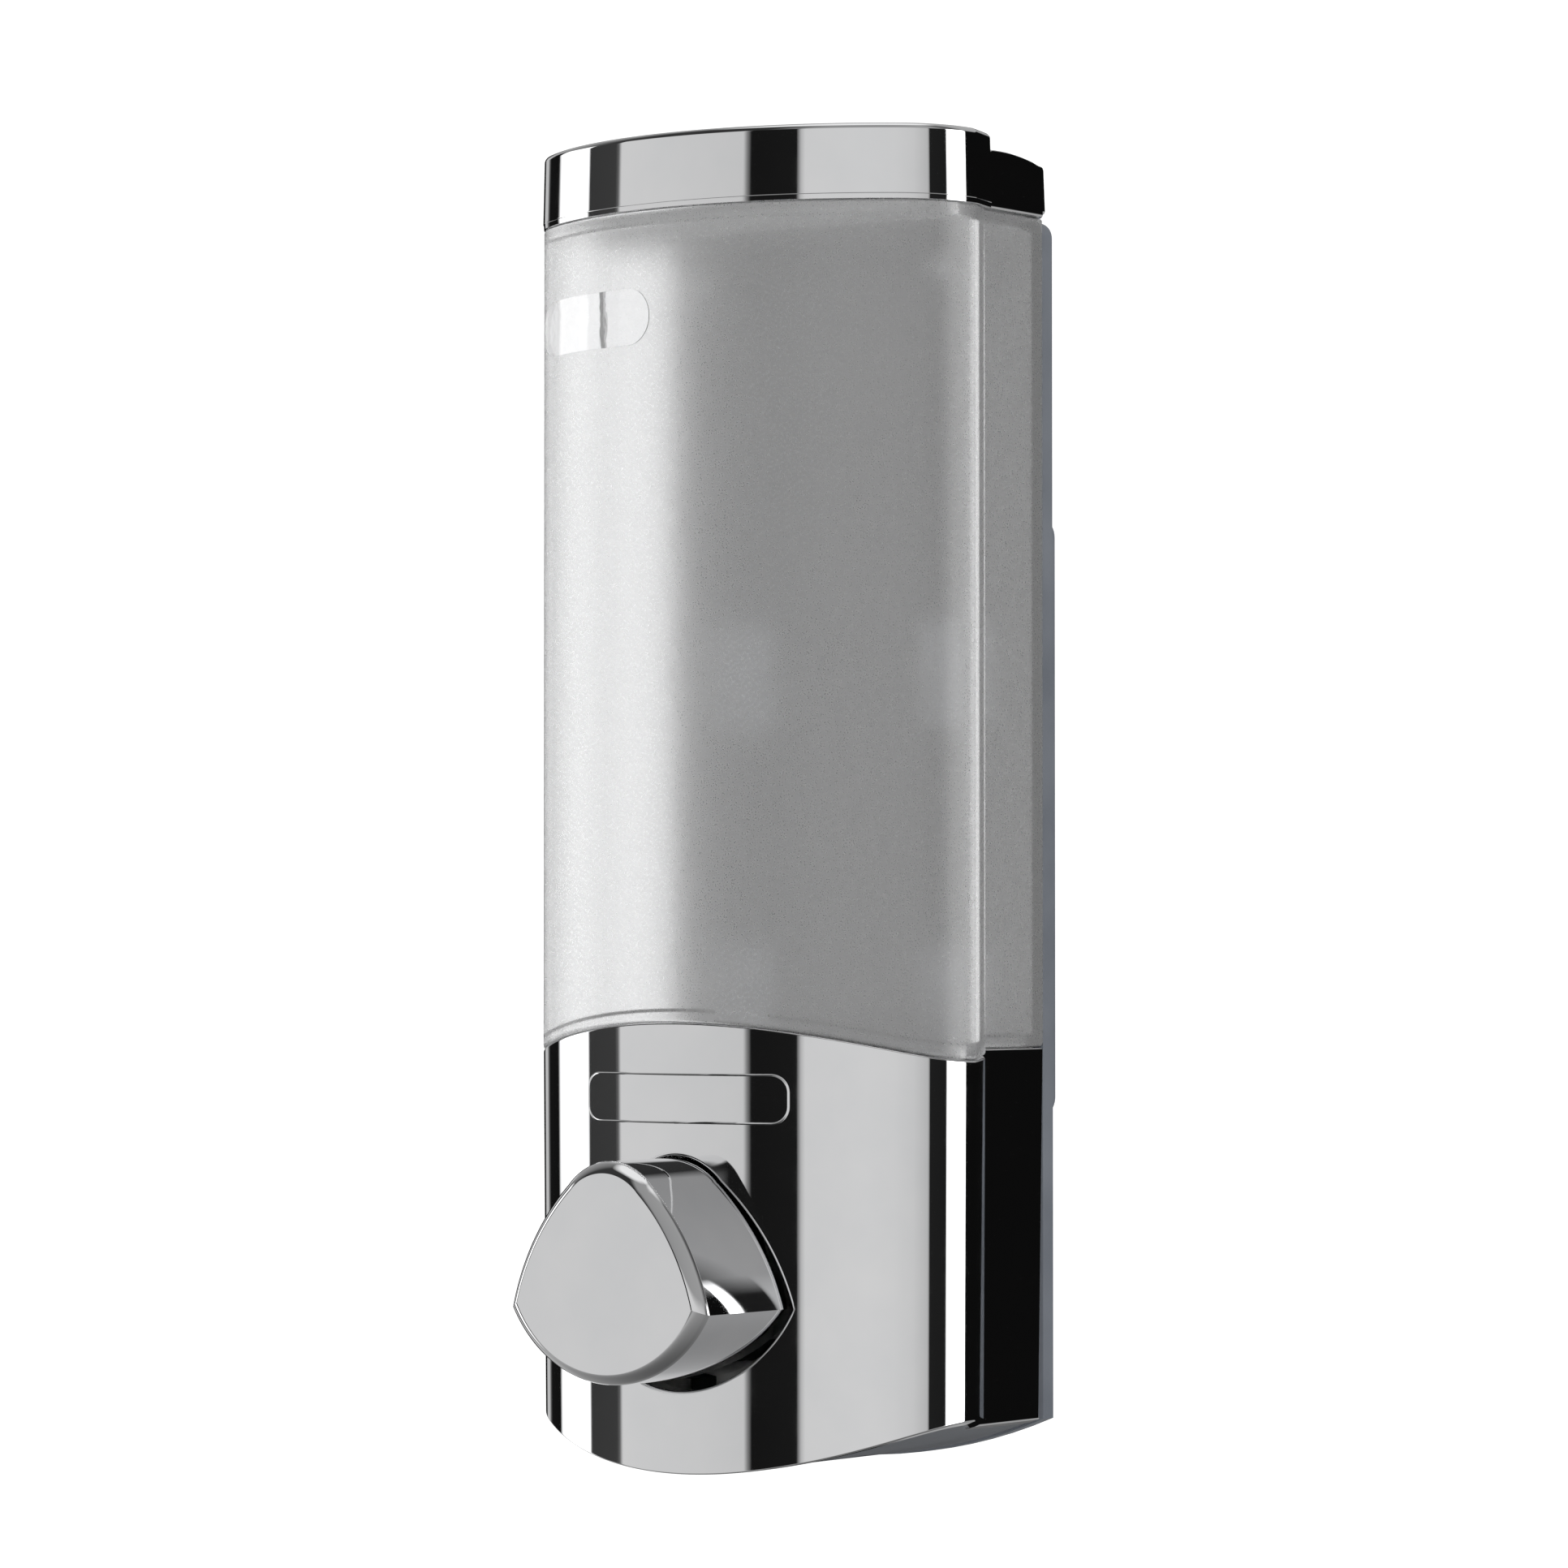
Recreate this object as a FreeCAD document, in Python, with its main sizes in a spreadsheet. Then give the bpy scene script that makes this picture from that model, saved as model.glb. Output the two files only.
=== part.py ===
import FreeCAD, Part
import math
import os
import re

import Sketcher

# Wall mounted soap dispenser, in millimetres.
# Origin: centre of the wall bracket's back face. +Z is up, and the front of the dispenser is -Y.

# Driving dimensions: alias, value.
SIZES = {
    # plan outline, shared by the reservoir, the lid and the front cover
    "body_width": 92.9,
    "body_depth": 59.8,            # wall to the front of the cover
    "front_radius": 65.0,
    "corner_radius": 18.7,
    "flank_taper": 1.8,            # how far each flank leans in behind the widest place
    "flank_length": 5.2,
    "flank_step": 1.4,             # step down to the rear flank
    # heights, from the origin
    "lid_base": 108.8,             # lower edge of the lid
    "lid_height": 13.6,
    "arch_drop": 37.3,             # origin down to the top of the cover's arch
    "arch_radius": 164.4,
    "flank_top_drop": 4.7,         # arch top down to the cover's rear flank
    "cover_height": 80.3,          # arch top down to the lowest point
    "smile_radius": 115.0,         # the curved lower edge
    # wall bracket
    "bracket_width": 84.0,
    "bracket_height": 110.0,
    "bracket_thickness": 2.4,
    "bracket_corner": 4.0,
    "wall_hole_radius": 2.25,
    "wall_hole_spacing": 70.0,
    "wall_sink_radius": 4.2,
    "wall_sink_depth": 1.4,
    "pad_width": 24.0,
    "pad_height": 50.0,
    "pad_thickness": 1.0,
    "pad_offset": 24.0,
    "pad_corner": 2.0,
    # hooks
    "hook_width": 14.0,
    "hook_stem": 4.0,
    "hook_rise": 6.0,
    "hook_lip": 1.3,
    "hook_spacing_across": 50.0,
    "hook_spacing_up": 60.0,
    "hook_gap": 0.3,
    "hook_play": 0.6,
    "lift_travel": 9.0,
    # back plate
    "plate_thickness": 3.3,
    "plate_web": 1.1,
    "plate_corner": 3.0,
    "plate_top_gap": 0.3,
    # self-tapping screws, all alike
    "screw_radius": 1.5,
    "screw_length": 10.0,
    "screw_head_radius": 2.8,
    "screw_head_height": 1.6,
    "screw_recess": 1.8,
    "screw_clearance": 0.05,
    "head_clearance": 0.3,
    "boss_radius": 4.0,
    # reservoir
    "reservoir_wall": 2.0,
    "rim_gap": 0.1,                # reservoir's top to the lid's lower edge
    "mouth_inset": 6.0,
    "skirt_depth": 14.7,           # arch top down to the underside of the floor
    "neck_radius": 4.0,
    "neck_bore": 2.6,
    "reservoir_screw_across": 56.0,
    "reservoir_screw_drop": 9.0,
    "window_width": 34.5,
    "window_height": 10.2,
    "window_offset": 23.0,
    "window_drop": 19.0,
    "recess_depth": 0.4,
    "arch_overlap": 12.0,          # how far the skirt runs up inside the chamber
    # lid, hinge cap and hinge
    "lid_wall": 1.8,
    "lid_outset": 0.2,
    "lid_round": 2.0,
    "lid_overhang": 2.05,          # how far the lid reaches back past the step in the flanks
    "cap_gap": 0.3,
    "cap_front_height": 10.9,
    "cap_rear_height": 9.4,
    "cap_crown": 60.0,             # radius of the cap's convex top
    "cap_setback": 4.8,
    "peg_radius": 2.0,
    "hinge_barrel": 1.6,
    "hinge_pin_radius": 0.8,
    "hinge_clearance": 0.05,
    "knuckle_inner": 12.0,
    "knuckle_outer": 30.0,
    "seal_inset": 2.4,
    "seal_width": 2.8,
    "seal_height": 3.0,
    "rib_width": 1.2,
    # front cover
    "cover_wall": 1.8,
    "cover_gap": 0.25,
    "label_width": 44.7,
    "label_height": 8.6,
    "label_drop": 13.4,            # arch top down to the middle of the label's recess
    "label_corner": 3.0,
    "cover_boss_radius": 3.6,
    "cover_boss_length": 16.0,
    # base plate
    "base_thickness": 2.0,
    "base_recess": 0.4,
    "nozzle_hole": 4.3,
    # button
    "button_drop": 44.2,           # arch top down to the button's and the pump's axis
    "button_reach": 20.7,          # how far its face stands out of the cover
    "button_half_width": 21.7,
    "button_above": 20.2,
    "button_below": 19.2,
    "button_corner_drop": 6.2,
    "button_top_radius": 12.0,
    "button_side_radius": 44.0,
    "button_flare": 0.6,
    "button_wall": 1.8,
    "button_gap": 0.9,             # pressed button to the pump's inlet socket
    "button_round": 1.2,
    "button_travel": 8.0,
    "opening_margin": 0.9,
    "opening_sag": 1.8,            # extra room below the button
    "collar_wall": 1.2,
    "collar_reach": 6.3,           # how far the opening's collar runs back from the front
    # pump
    "pump_bore": 9.0,
    "pump_wall": 2.0,
    "spring_room": 4.7,            # length left for the return spring when pressed
    "pump_rear": 30.0,             # rear end of the cylinder, from the wall
    "pump_end": 2.5,
    "port_setback": 7.0,
    "port_radius": 2.6,
    "bill_reach": 1.5,             # how far the valve's bill reaches into the cylinder
    "bill_length": 2.0,
    "flange_width": 48.0,
    "flange_height": 40.0,
    "flange_thickness": 3.0,
    "leg_across": 38.0,
    "leg_up": 30.0,
    "socket_radius": 5.2,
    "socket_wall": 1.4,
    "socket_floor": 1.6,
    "socket_depth": 6.9,
    "valve_flange": 1.0,
    "o_ring_drop": 2.0,
    "outlet_bore": 4.5,
    "outlet_wall": 1.5,
    "outlet_step": 1.0,            # outside of the cylinder down to the outlet's seat
    "post_across": 40.0,
    "post_radius": 3.5,
    "gland_thickness": 3.0,
    "gland_spigot": 2.0,
    "rod_radius": 3.0,
    "rod_clearance": 0.06,
    "rod_gap": 0.2,                # end of the rod to the inside of the button's face
    "rod_tail": 1.8,
    "rod_tail_end": 0.8,           # how far the tail shows behind the piston
    "fit_clearance": 0.05,
    "piston_length": 5.0,
    "piston_clearance": 0.08,
    "piston_gap": 0.3,
    "groove_depth": 1.4,
    "groove_width": 2.0,
    "button_boss_length": 4.0,
    "button_boss_radius": 5.5,
    "spring_radius": 7.6,
    "spring_wire": 0.4,
    "spring_turns": 5.0,
    "seat_height": 2.5,
    "seat_hole": 1.6,
    "ball_radius": 2.5,
    "ball_gap": 0.05,
    "ball_travel": 1.2,
    "ball_room": 1.3,              # ball at the end of its travel to the nozzle
    "ball_spring_radius": 1.9,
    "ball_spring_wire": 0.25,
    "ball_spring_turns": 5.0,
    "nozzle_insert": 3.0,
    "nozzle_bore": 1.5,
    "nozzle_radius": 4.0,
    "nozzle_cup": 2.6,
    "nozzle_tip_gap": 0.6,
    "nozzle_collar": 2.0,
    "screw_spare": 0.5,            # depth of a screw's hole past its end
    "base_boss_height": 5.5,
    "base_web": 2.5,               # what is left of a base boss above the screw's head
    "overshoot": 1.0,              # how far a cutting solid runs past what it cuts
}

# Places that follow from the driving dimensions. Each may use those above it.
PLACES = {
    "plate_back": "-(bracket_thickness + hook_gap)",
    "plate_front": "plate_back - plate_thickness",
    "front_centre": "front_radius - body_depth",
    "corner_across": "body_width / 2 - corner_radius",
    "corner_reach": "front_radius - corner_radius",
    "corner_rise": "sqrt(corner_reach ^ 2 - corner_across ^ 2)",
    "widest": "front_centre - corner_rise",
    "step_back": "widest + flank_length",
    "rear_half": "body_width / 2 - flank_taper - flank_step",
    "arch_top": "-arch_drop",
    "bottom": "arch_top - cover_height",
    "axis_up": "arch_top - button_drop",
    "floor_bottom": "arch_top - skirt_depth",
    "reservoir_top": "lid_base - rim_gap",
    "deck_low": "reservoir_top - reservoir_wall - overshoot",
    "deck_cut": "reservoir_wall + 2 * overshoot",
    "skirt_inset": "cover_wall + cover_gap",
    "button_face": "-(body_depth + button_reach)",
    "button_inside": "button_face + button_wall",
    "boss_face": "button_inside + button_boss_length",
    "gland_face": "button_inside + button_travel + spring_room",
    "pump_face": "gland_face + gland_thickness",
    "port_back": "-(pump_rear + port_setback)",
    "post_back": "-(pump_rear + post_radius)",
    "button_rear": "port_back - socket_radius - socket_wall - button_travel - button_gap",
    "piston_face": "pump_face + gland_spigot + piston_gap",
    "lid_rear": "step_back + lid_overhang",
    "peg_back": "(lid_rear - cap_setback) / 2",
    "cap_front": "lid_rear + cap_gap",
    "hinge_back": "cap_front + hinge_barrel",
    "hinge_up": "lid_base + cap_front_height - hinge_barrel",
    "screw_seat": "plate_back - screw_recess",
    "neck_end": "axis_up + pump_bore + pump_wall + socket_floor + valve_flange",
    "socket_top": "neck_end + socket_depth",
    "outlet_top": "axis_up - pump_bore - pump_wall - outlet_step",
    "ball_up": "outlet_top - seat_height - ball_gap - sqrt(ball_radius ^ 2 - seat_hole ^ 2)",
    "outlet_end": "ball_up - ball_radius - ball_travel - ball_room - nozzle_insert",
    "base_seat": "bottom + base_recess + base_thickness + base_boss_height",
    "bill_tip": "port_radius * 0.4",
    "collar_back": "collar_reach - body_depth",
    "half_past": "body_width / 2 + 3 * overshoot",
    "arch_fall": "arch_radius - sqrt(arch_radius ^ 2 - half_past ^ 2)",
    "smile_rise": "smile_radius - sqrt(smile_radius ^ 2 - half_past ^ 2)",
    "cap_half": "rear_half + lid_outset",
    "peg_low": "reservoir_top - reservoir_wall - screw_spare",
}

doc = FreeCAD.newDocument("soap_dispenser")
sheet = doc.addObject("Spreadsheet::Sheet", "Sizes")
for row, (alias, value) in enumerate(SIZES.items(), start=1):
    sheet.set(f"A{row}", alias)
    sheet.set(f"B{row}", str(value))
    sheet.setAlias(f"B{row}", alias)
doc.recompute()

WORD = re.compile(r"[a-z][a-z_]*")


def bound(text):
    """An expression on the sheet's cells, from one written with the plain names of sizes and places."""
    def swap(match):
        name = match.group(0)
        if name in PLACES:
            return f"({bound(PLACES[name])})"
        return f"Sizes.{name}" if name in SIZES else name
    return WORD.sub(swap, str(text))


def number(text):
    """What such an expression comes to now."""
    return float(sheet.evalExpression(bound(text)))


def bind(thing, **settings):
    """Binds properties to expressions. Two underscores in a name stand for a dot."""
    for name, text in settings.items():
        thing.setExpression(name.replace("__", "."), bound(text))
    return thing


def place(thing, base=(0, 0, 0), turn=None):
    """Sets a thing's turn, and binds its position."""
    if turn is not None:
        thing.Placement.Rotation = turn
    for name, text in zip("xyz", base):
        if str(text) != "0":
            thing.setExpression(f"Placement.Base.{name}", bound(text))
    return thing


TO_X = FreeCAD.Rotation(FreeCAD.Vector(0, 1, 0), 90)      # turns a thing's own +Z to +X
TO_FRONT = FreeCAD.Rotation(FreeCAD.Vector(1, 0, 0), 90)  # +Z to -Y
TO_BACK = FreeCAD.Rotation(FreeCAD.Vector(1, 0, 0), -90)  # +Z to +Y
TO_DOWN = FreeCAD.Rotation(FreeCAD.Vector(1, 0, 0), 180)  # +Z to -Z
# a sketch's own x, y and normal: "plan" X, Y, Z; "front" X, Z, -Y; "side" Y, Z, X
VIEWS = {
    "plan": FreeCAD.Rotation(),
    "front": TO_FRONT,
    "side": FreeCAD.Rotation(FreeCAD.Vector(1, 1, 1), 120),
}
ROLES = {"plan": "XY_Plane", "front": "XZ_Plane", "side": "YZ_Plane"}


# ---- sketches ----

def pin_point(sketch, geometry, end, across, up):
    """Ties one end of an edge to two expressions."""
    for kind, text, axis in (("DistanceX", across, -2), ("DistanceY", up, -1)):
        value = number(text)
        if abs(value) < 1e-9:
            sketch.addConstraint(Sketcher.Constraint("PointOnObject", geometry, end, axis))
        elif value > 0:
            at = sketch.addConstraint(Sketcher.Constraint(kind, -1, 1, geometry, end, value))
            sketch.setExpression(f"Constraints[{at}]", bound(text))
        else:
            at = sketch.addConstraint(Sketcher.Constraint(kind, geometry, end, -1, 1, -value))
            sketch.setExpression(f"Constraints[{at}]", bound(f"-({text})"))


def arc_between(start, end, radius, bulge):
    """The short arc from start to end that bulges to the left (1) or right (-1) of the way there."""
    way = end - start
    left = FreeCAD.Vector(-way.y, way.x, 0).normalize()
    half = way.Length / 2
    rise = radius - math.sqrt(max(radius ** 2 - half ** 2, 0))
    return Part.Arc(start, start + way * 0.5 + left * (rise * bulge), end)


def draw(sketch, corners, arcs=None):
    """A closed outline through the corners. arcs gives {edge: (radius, bulge)}, and edge 0 leaves corner 0."""
    arcs = arcs or {}
    points = [FreeCAD.Vector(number(x), number(y), 0) for x, y in corners]
    ends = []
    for edge, start in enumerate(points):
        end = points[(edge + 1) % len(points)]
        if edge in arcs:
            radius, bulge = arcs[edge]
            index = sketch.addGeometry(arc_between(start, end, number(radius), bulge))
            begins = sketch.getPoint(index, 1).distanceToPoint(start) < 1e-6
            ends.append((index, 1, 2) if begins else (index, 2, 1))
        else:
            ends.append((sketch.addGeometry(Part.LineSegment(start, end)), 1, 2))
    for edge, (index, first, last) in enumerate(ends):
        after = ends[(edge + 1) % len(ends)]
        sketch.addConstraint(Sketcher.Constraint("Coincident", index, last, after[0], after[1]))
        pin_point(sketch, index, first, *corners[edge])
        if edge in arcs:
            radius = arcs[edge][0]
            at = sketch.addConstraint(Sketcher.Constraint("Radius", index, number(radius)))
            sketch.setExpression(f"Constraints[{at}]", bound(radius))


def draw_circle(sketch, across, up, radius):
    centre = FreeCAD.Vector(number(across), number(up), 0)
    index = sketch.addGeometry(Part.Circle(centre, FreeCAD.Vector(0, 0, 1), number(radius)))
    pin_point(sketch, index, 3, across, up)
    at = sketch.addConstraint(Sketcher.Constraint("Radius", index, number(radius)))
    sketch.setExpression(f"Constraints[{at}]", bound(radius))


def rectangle(left, right, low, high):
    return [(left, low), (right, low), (right, high), (left, high)]


def rounded(across, up, width, height, radius):
    """Corners and arcs of a rectangle with round corners, centred on across, up."""
    left, right = f"{across} - ({width}) / 2", f"{across} + ({width}) / 2"
    low, high = f"{up} - ({height}) / 2", f"{up} + ({height}) / 2"
    corners = [(f"{left} + {radius}", low), (f"{right} - {radius}", low),
               (right, f"{low} + {radius}"), (right, f"{high} - {radius}"),
               (f"{right} - {radius}", high), (f"{left} + {radius}", high),
               (left, f"{high} - {radius}"), (left, f"{low} + {radius}")]
    return corners, {edge: (radius, -1) for edge in (1, 3, 5, 7)}


def plan_outline(inset="0", rear="plate_front", stepped=True, flank="flank_length"):
    """The dispenser's outline from above, moved in by inset, with its rear edge at rear."""
    grow = f"(front_radius - ({inset})) / corner_reach"
    side = f"body_width / 2 - ({inset})"
    tangent = (f"corner_across * {grow}", f"front_centre - corner_rise * {grow}")
    step = f"widest + {flank}" + (f" - ({inset})" if stepped else "")
    half = [tangent, (side, "widest"), (f"{side} - flank_taper", step)]
    if stepped:
        half += [(f"{side} - flank_taper - flank_step", step), (f"{side} - flank_taper - flank_step", rear)]
    else:
        half[-1] = (half[-1][0], rear)
    mirrored = [(f"-({x})", y) for x, y in half]
    corners = half[::-1] + mirrored
    last = len(half) - 1
    arcs = {last - 1: (f"corner_radius - ({inset})", 1),
            last: (f"front_radius - ({inset})", 1),
            last + 1: (f"corner_radius - ({inset})", 1)}
    return corners, arcs


def arc_drop(radius, across):
    """How far an arc of that radius has fallen at that distance from its top."""
    return f"({radius} - sqrt({radius} ^ 2 - ({across}) ^ 2))"


def smile_up(lift):
    """Height of the curved lower edge, moved up by lift, just outside the body."""
    return f"bottom + ({lift}) + smile_rise"


def arch_up(lift):
    """Height of the arch, moved up by lift, just outside the body."""
    return f"arch_top + ({lift}) - arch_fall"


def button_outline(grow="0", sag="0", flare="0"):
    """The button from the front: a round top, two bowed sides, two corners and a bowed lower edge.
    flare moves only the two lower corners out."""
    wide = f"(button_half_width + ({grow}) + ({flare}))"
    top = f"(axis_up + button_above + ({grow}))"
    low = f"(axis_up - button_below - ({grow}) - ({sag}))"
    corner = "(axis_up - button_corner_drop)"
    shoulder = f"(button_half_width * 0.42 + ({grow}) * 0.7 + ({flare}) * 0.2)"
    round_top = f"(button_top_radius + ({grow}))"
    shoulder_up = f"({top} - {arc_drop(round_top, shoulder)})"
    deep = f"({corner} - {low})"
    base_radius = f"(({wide} ^ 2 + {deep} ^ 2) / (2 * {deep}))"
    corners = [(shoulder, shoulder_up), (wide, corner), (f"-{wide}", corner), (f"-{shoulder}", shoulder_up)]
    side = f"(button_side_radius + ({grow}))"
    return corners, {0: (side, 1), 1: (base_radius, 1), 2: (side, 1), 3: (round_top, 1)}


# ---- Part objects ----

def extrude(name, view, start, length, corners, arcs=None, circles=()):
    """A solid from a sketch. Lengths run along the view's normal: up, to the front or to +X."""
    sketch = doc.addObject("Sketcher::SketchObject", f"{name}_sketch")
    base = {"plan": (0, 0, start), "front": (0, start, 0), "side": (start, 0, 0)}[view]
    place(sketch, base, VIEWS[view])
    if corners:
        draw(sketch, corners, arcs)
    for circle in circles:
        draw_circle(sketch, *circle)
    solid = doc.addObject("Part::Extrusion", name)
    solid.Base = sketch
    solid.DirMode = "Normal"
    solid.Solid = True
    return bind(solid, LengthFwd=length)


def cylinder(name, radius, length, base, turn=None):
    solid = doc.addObject("Part::Cylinder", name)
    bind(solid, Radius=radius, Height=length)
    return place(solid, base, turn)


def box(name, size, base):
    solid = doc.addObject("Part::Box", name)
    bind(solid, Length=size[0], Width=size[1], Height=size[2])
    return place(solid, base)


def fuse(name, things):
    result = doc.addObject("Part::MultiFuse", name)
    result.Shapes = things
    return result


def overlap(name, things):
    result = doc.addObject("Part::MultiCommon", name)
    result.Shapes = things
    return result


def cut(name, base, tool):
    result = doc.addObject("Part::Cut", name)
    result.Base = base
    result.Tool = tool
    return result


# ---- PartDesign bodies ----

def body_sketch(body, view, start):
    """A sketch on one of the body's own planes, start away along its normal."""
    role = ROLES[view]
    plane = next(item for item in body.Origin.OriginFeatures if item.Role == role)
    sketch = body.newObject("Sketcher::SketchObject", f"{body.Name}_sketch")
    sketch.AttachmentSupport = (plane, "")
    sketch.MapMode = "FlatFace"
    if str(start) != "0":
        text = f"-({start})" if view == "front" else start
        sketch.setExpression("AttachmentOffset.Base.z", bound(text))
    return sketch


def pad(body, view, start, length, corners=None, arcs=None, circles=()):
    sketch = body_sketch(body, view, start)
    if corners:
        draw(sketch, corners, arcs)
    for circle in circles:
        draw_circle(sketch, *circle)
    feature = body.newObject("PartDesign::Pad", f"{body.Name}_pad")
    feature.Profile = sketch
    return bind(feature, Length=length)


def pocket(body, view, start, length, corners=None, arcs=None, circles=()):
    """Cuts along the view's normal, as pad adds, and stops if nothing was cut."""
    doc.recompute()
    before = body.Shape.Volume
    sketch = body_sketch(body, view, start)
    if corners:
        draw(sketch, corners, arcs)
    for circle in circles:
        draw_circle(sketch, *circle)
    feature = body.newObject("PartDesign::Pocket", f"{body.Name}_pocket")
    feature.Profile = sketch
    feature.Reversed = True
    bind(feature, Length=length)
    doc.recompute()
    if body.Shape.Volume >= before:
        raise RuntimeError(f"{feature.Name} cut nothing")
    return feature


def round_edges(body, radius, chosen):
    """Fillets the edges that chosen picks."""
    doc.recompute()
    before = body.Tip
    names = [f"Edge{i}" for i, edge in enumerate(before.Shape.Edges, start=1) if chosen(edge)]
    feature = body.newObject("PartDesign::Fillet", f"{body.Name}_fillet")
    feature.Base = (before, names)
    return bind(feature, Radius=radius)


def turned(name, profile, base=(0, 0, 0), turn=None, arcs=None):
    """A body of revolution about its own Z axis, from corners given as radius and height."""
    body = doc.addObject("PartDesign::Body", name)
    sketch = body_sketch(body, "front", 0)
    draw(sketch, profile, arcs)
    feature = body.newObject("PartDesign::Revolution", f"{name}_turned")
    feature.Profile = sketch
    feature.ReferenceAxis = (sketch, ["V_Axis"])
    feature.Angle = 360.0
    place(body, base, turn)
    return body


# ---- wall bracket and its pads ----

def hook_places():
    for side in (-1, 1):
        for level in (-1, 1):
            yield f"({side} * hook_spacing_across / 2)", f"({level} * hook_spacing_up / 2)"


def make_wall_bracket():
    body = doc.addObject("PartDesign::Body", "wall_bracket")
    corners, arcs = rounded("0", "0", "bracket_width", "bracket_height", "bracket_corner")
    pad(body, "front", 0, "bracket_thickness", corners, arcs)
    reach = "hook_gap + plate_web + hook_gap + hook_lip"
    for across, up in hook_places():
        side = (f"{across} - hook_width / 2", f"{across} + hook_width / 2")
        pad(body, "front", "-bracket_thickness", reach, rectangle(*side, f"{up} - hook_stem", up))
        lip = f"-(bracket_thickness + {reach} - hook_lip)"
        pad(body, "front", lip, "hook_lip", rectangle(*side, f"{up} - hook_stem", f"{up} + hook_rise"))
    for level in (-1, 1):
        up = f"{level} * wall_hole_spacing / 2"
        pocket(body, "front", 0, "bracket_thickness", circles=[("0", up, "wall_hole_radius")])
        sink = "-(bracket_thickness - wall_sink_depth)"
        pocket(body, "front", sink, "wall_sink_depth", circles=[("0", up, "wall_sink_radius")])
    for side in (-1, 1):
        corners = rounded(f"{side} * pad_offset", "0", "pad_width", "pad_height", "pad_corner")
        pocket(body, "front", 0, "pad_thickness", *corners)
    return body


def make_adhesive_pads():
    body = doc.addObject("PartDesign::Body", "adhesive_pads")
    body.AllowCompound = True
    for side in (-1, 1):
        pad(body, "front", 0, "pad_thickness",
            *rounded(f"{side} * pad_offset", "0", "pad_width", "pad_height", "pad_corner"))
    return body


# ---- screws ----

def pump_screw_places():
    return [(f"({x} * leg_across / 2)", f"(axis_up + {z} * leg_up / 2)") for x in (-1, 1) for z in (-1, 1)]


def reservoir_screw_places():
    return [(f"({x} * reservoir_screw_across / 2)", "(reservoir_top - reservoir_screw_drop)") for x in (-1, 1)]


def cover_screw_places():
    inner = "(rear_half - cover_wall + screw_spare - cover_boss_radius)"
    return [(f"({x} * {inner})", "axis_up") for x in (-1, 1)]


def post_places():
    return [f"({x} * post_across / 2)" for x in (-1, 1)]


def make_screws(name, places, turn):
    """A node of like screws. Each place is the seat under a head, and the shank leaves it along turn's +Z."""
    screws = []
    for index, base in enumerate(places):
        shank = cylinder(f"{name}_shank_{index}", "screw_radius", "screw_length", base, turn)
        head = cylinder(f"{name}_head_{index}", "screw_head_radius", "screw_head_height", base, turn)
        drive = doc.addObject("Part::Prism", f"{name}_drive_{index}")
        drive.Polygon = 6
        bind(drive, Circumradius="screw_radius", Height="screw_head_height * 0.6")
        place(drive, base, turn)
        step = turn.multVec(FreeCAD.Vector(0, 0, -1))
        for thing in (head, drive):
            for axis, part, start in zip("xyz", step, base):
                if abs(part) > 0.5:
                    text = f"{start} + ({part:.0f}) * screw_head_height"
                    thing.setExpression(f"Placement.Base.{axis}", bound(text))
        whole = fuse(f"{name}_whole_{index}", [shank, head])
        screws.append(cut(f"{name}_screw_{index}", whole, drive))
    group = doc.addObject("Part::Compound", name)
    group.Links = screws
    return group


def screw_hole(name, across, up):
    """What a screw from the back plate needs in the piece that it enters."""
    radius = "screw_radius + screw_clearance"
    depth = "screw_length + screw_seat + screw_spare + overshoot - plate_front"
    return cylinder(name, radius, depth, (across, "plate_front + overshoot", up), TO_FRONT)


# ---- back plate ----

def make_back_plate():
    body = doc.addObject("PartDesign::Body", "back_plate")
    top = "reservoir_top - plate_top_gap"
    low = f"bottom + {arc_drop('smile_radius', 'rear_half')}"
    corners = [("-rear_half + plate_corner", top), ("rear_half - plate_corner", top),
               ("rear_half", f"{top} - plate_corner"), ("rear_half", low),
               ("-rear_half", low), ("-rear_half", f"{top} - plate_corner")]
    arcs = {1: ("plate_corner", 1), 3: ("smile_radius", 1), 5: ("plate_corner", 1)}
    pad(body, "front", "plate_back", "plate_thickness", corners, arcs)
    for across, up in hook_places():
        side = (f"{across} - hook_width / 2 - hook_play", f"{across} + hook_width / 2 + hook_play")
        low = f"{up} - hook_stem - lift_travel - hook_play"
        pocket(body, "front", "plate_back", "plate_web", rectangle(*side, low, f"{up} + hook_gap"))
        pocket(body, "front", "plate_back - plate_web", "plate_thickness - plate_web",
               rectangle(*side, low, f"{up} + hook_rise + hook_play"))
    for across, up in pump_screw_places() + reservoir_screw_places() + cover_screw_places():
        pocket(body, "front", "plate_back", "plate_thickness",
               circles=[(across, up, "screw_radius + screw_clearance")])
        pocket(body, "front", "plate_back", "screw_recess",
               circles=[(across, up, "screw_head_radius + head_clearance")])
    return body


# ---- reservoir ----

def recess(name, outline):
    """A shallow pocket in the curved front, inside outline."""
    region = extrude(f"{name}_region", "front", "-corner_radius", "body_depth", *outline)
    inner = extrude(f"{name}_floor", "plan", "bottom", "lid_base - bottom",
                    *plan_outline("recess_depth", rear="0"))
    return cut(name, region, inner)


# lengths of solids that span the outline in front of the step and behind it
FRONT_LENGTH = "body_depth + step_back + overshoot"
REAR_LENGTH = "plate_front + overshoot - step_back"


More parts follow.
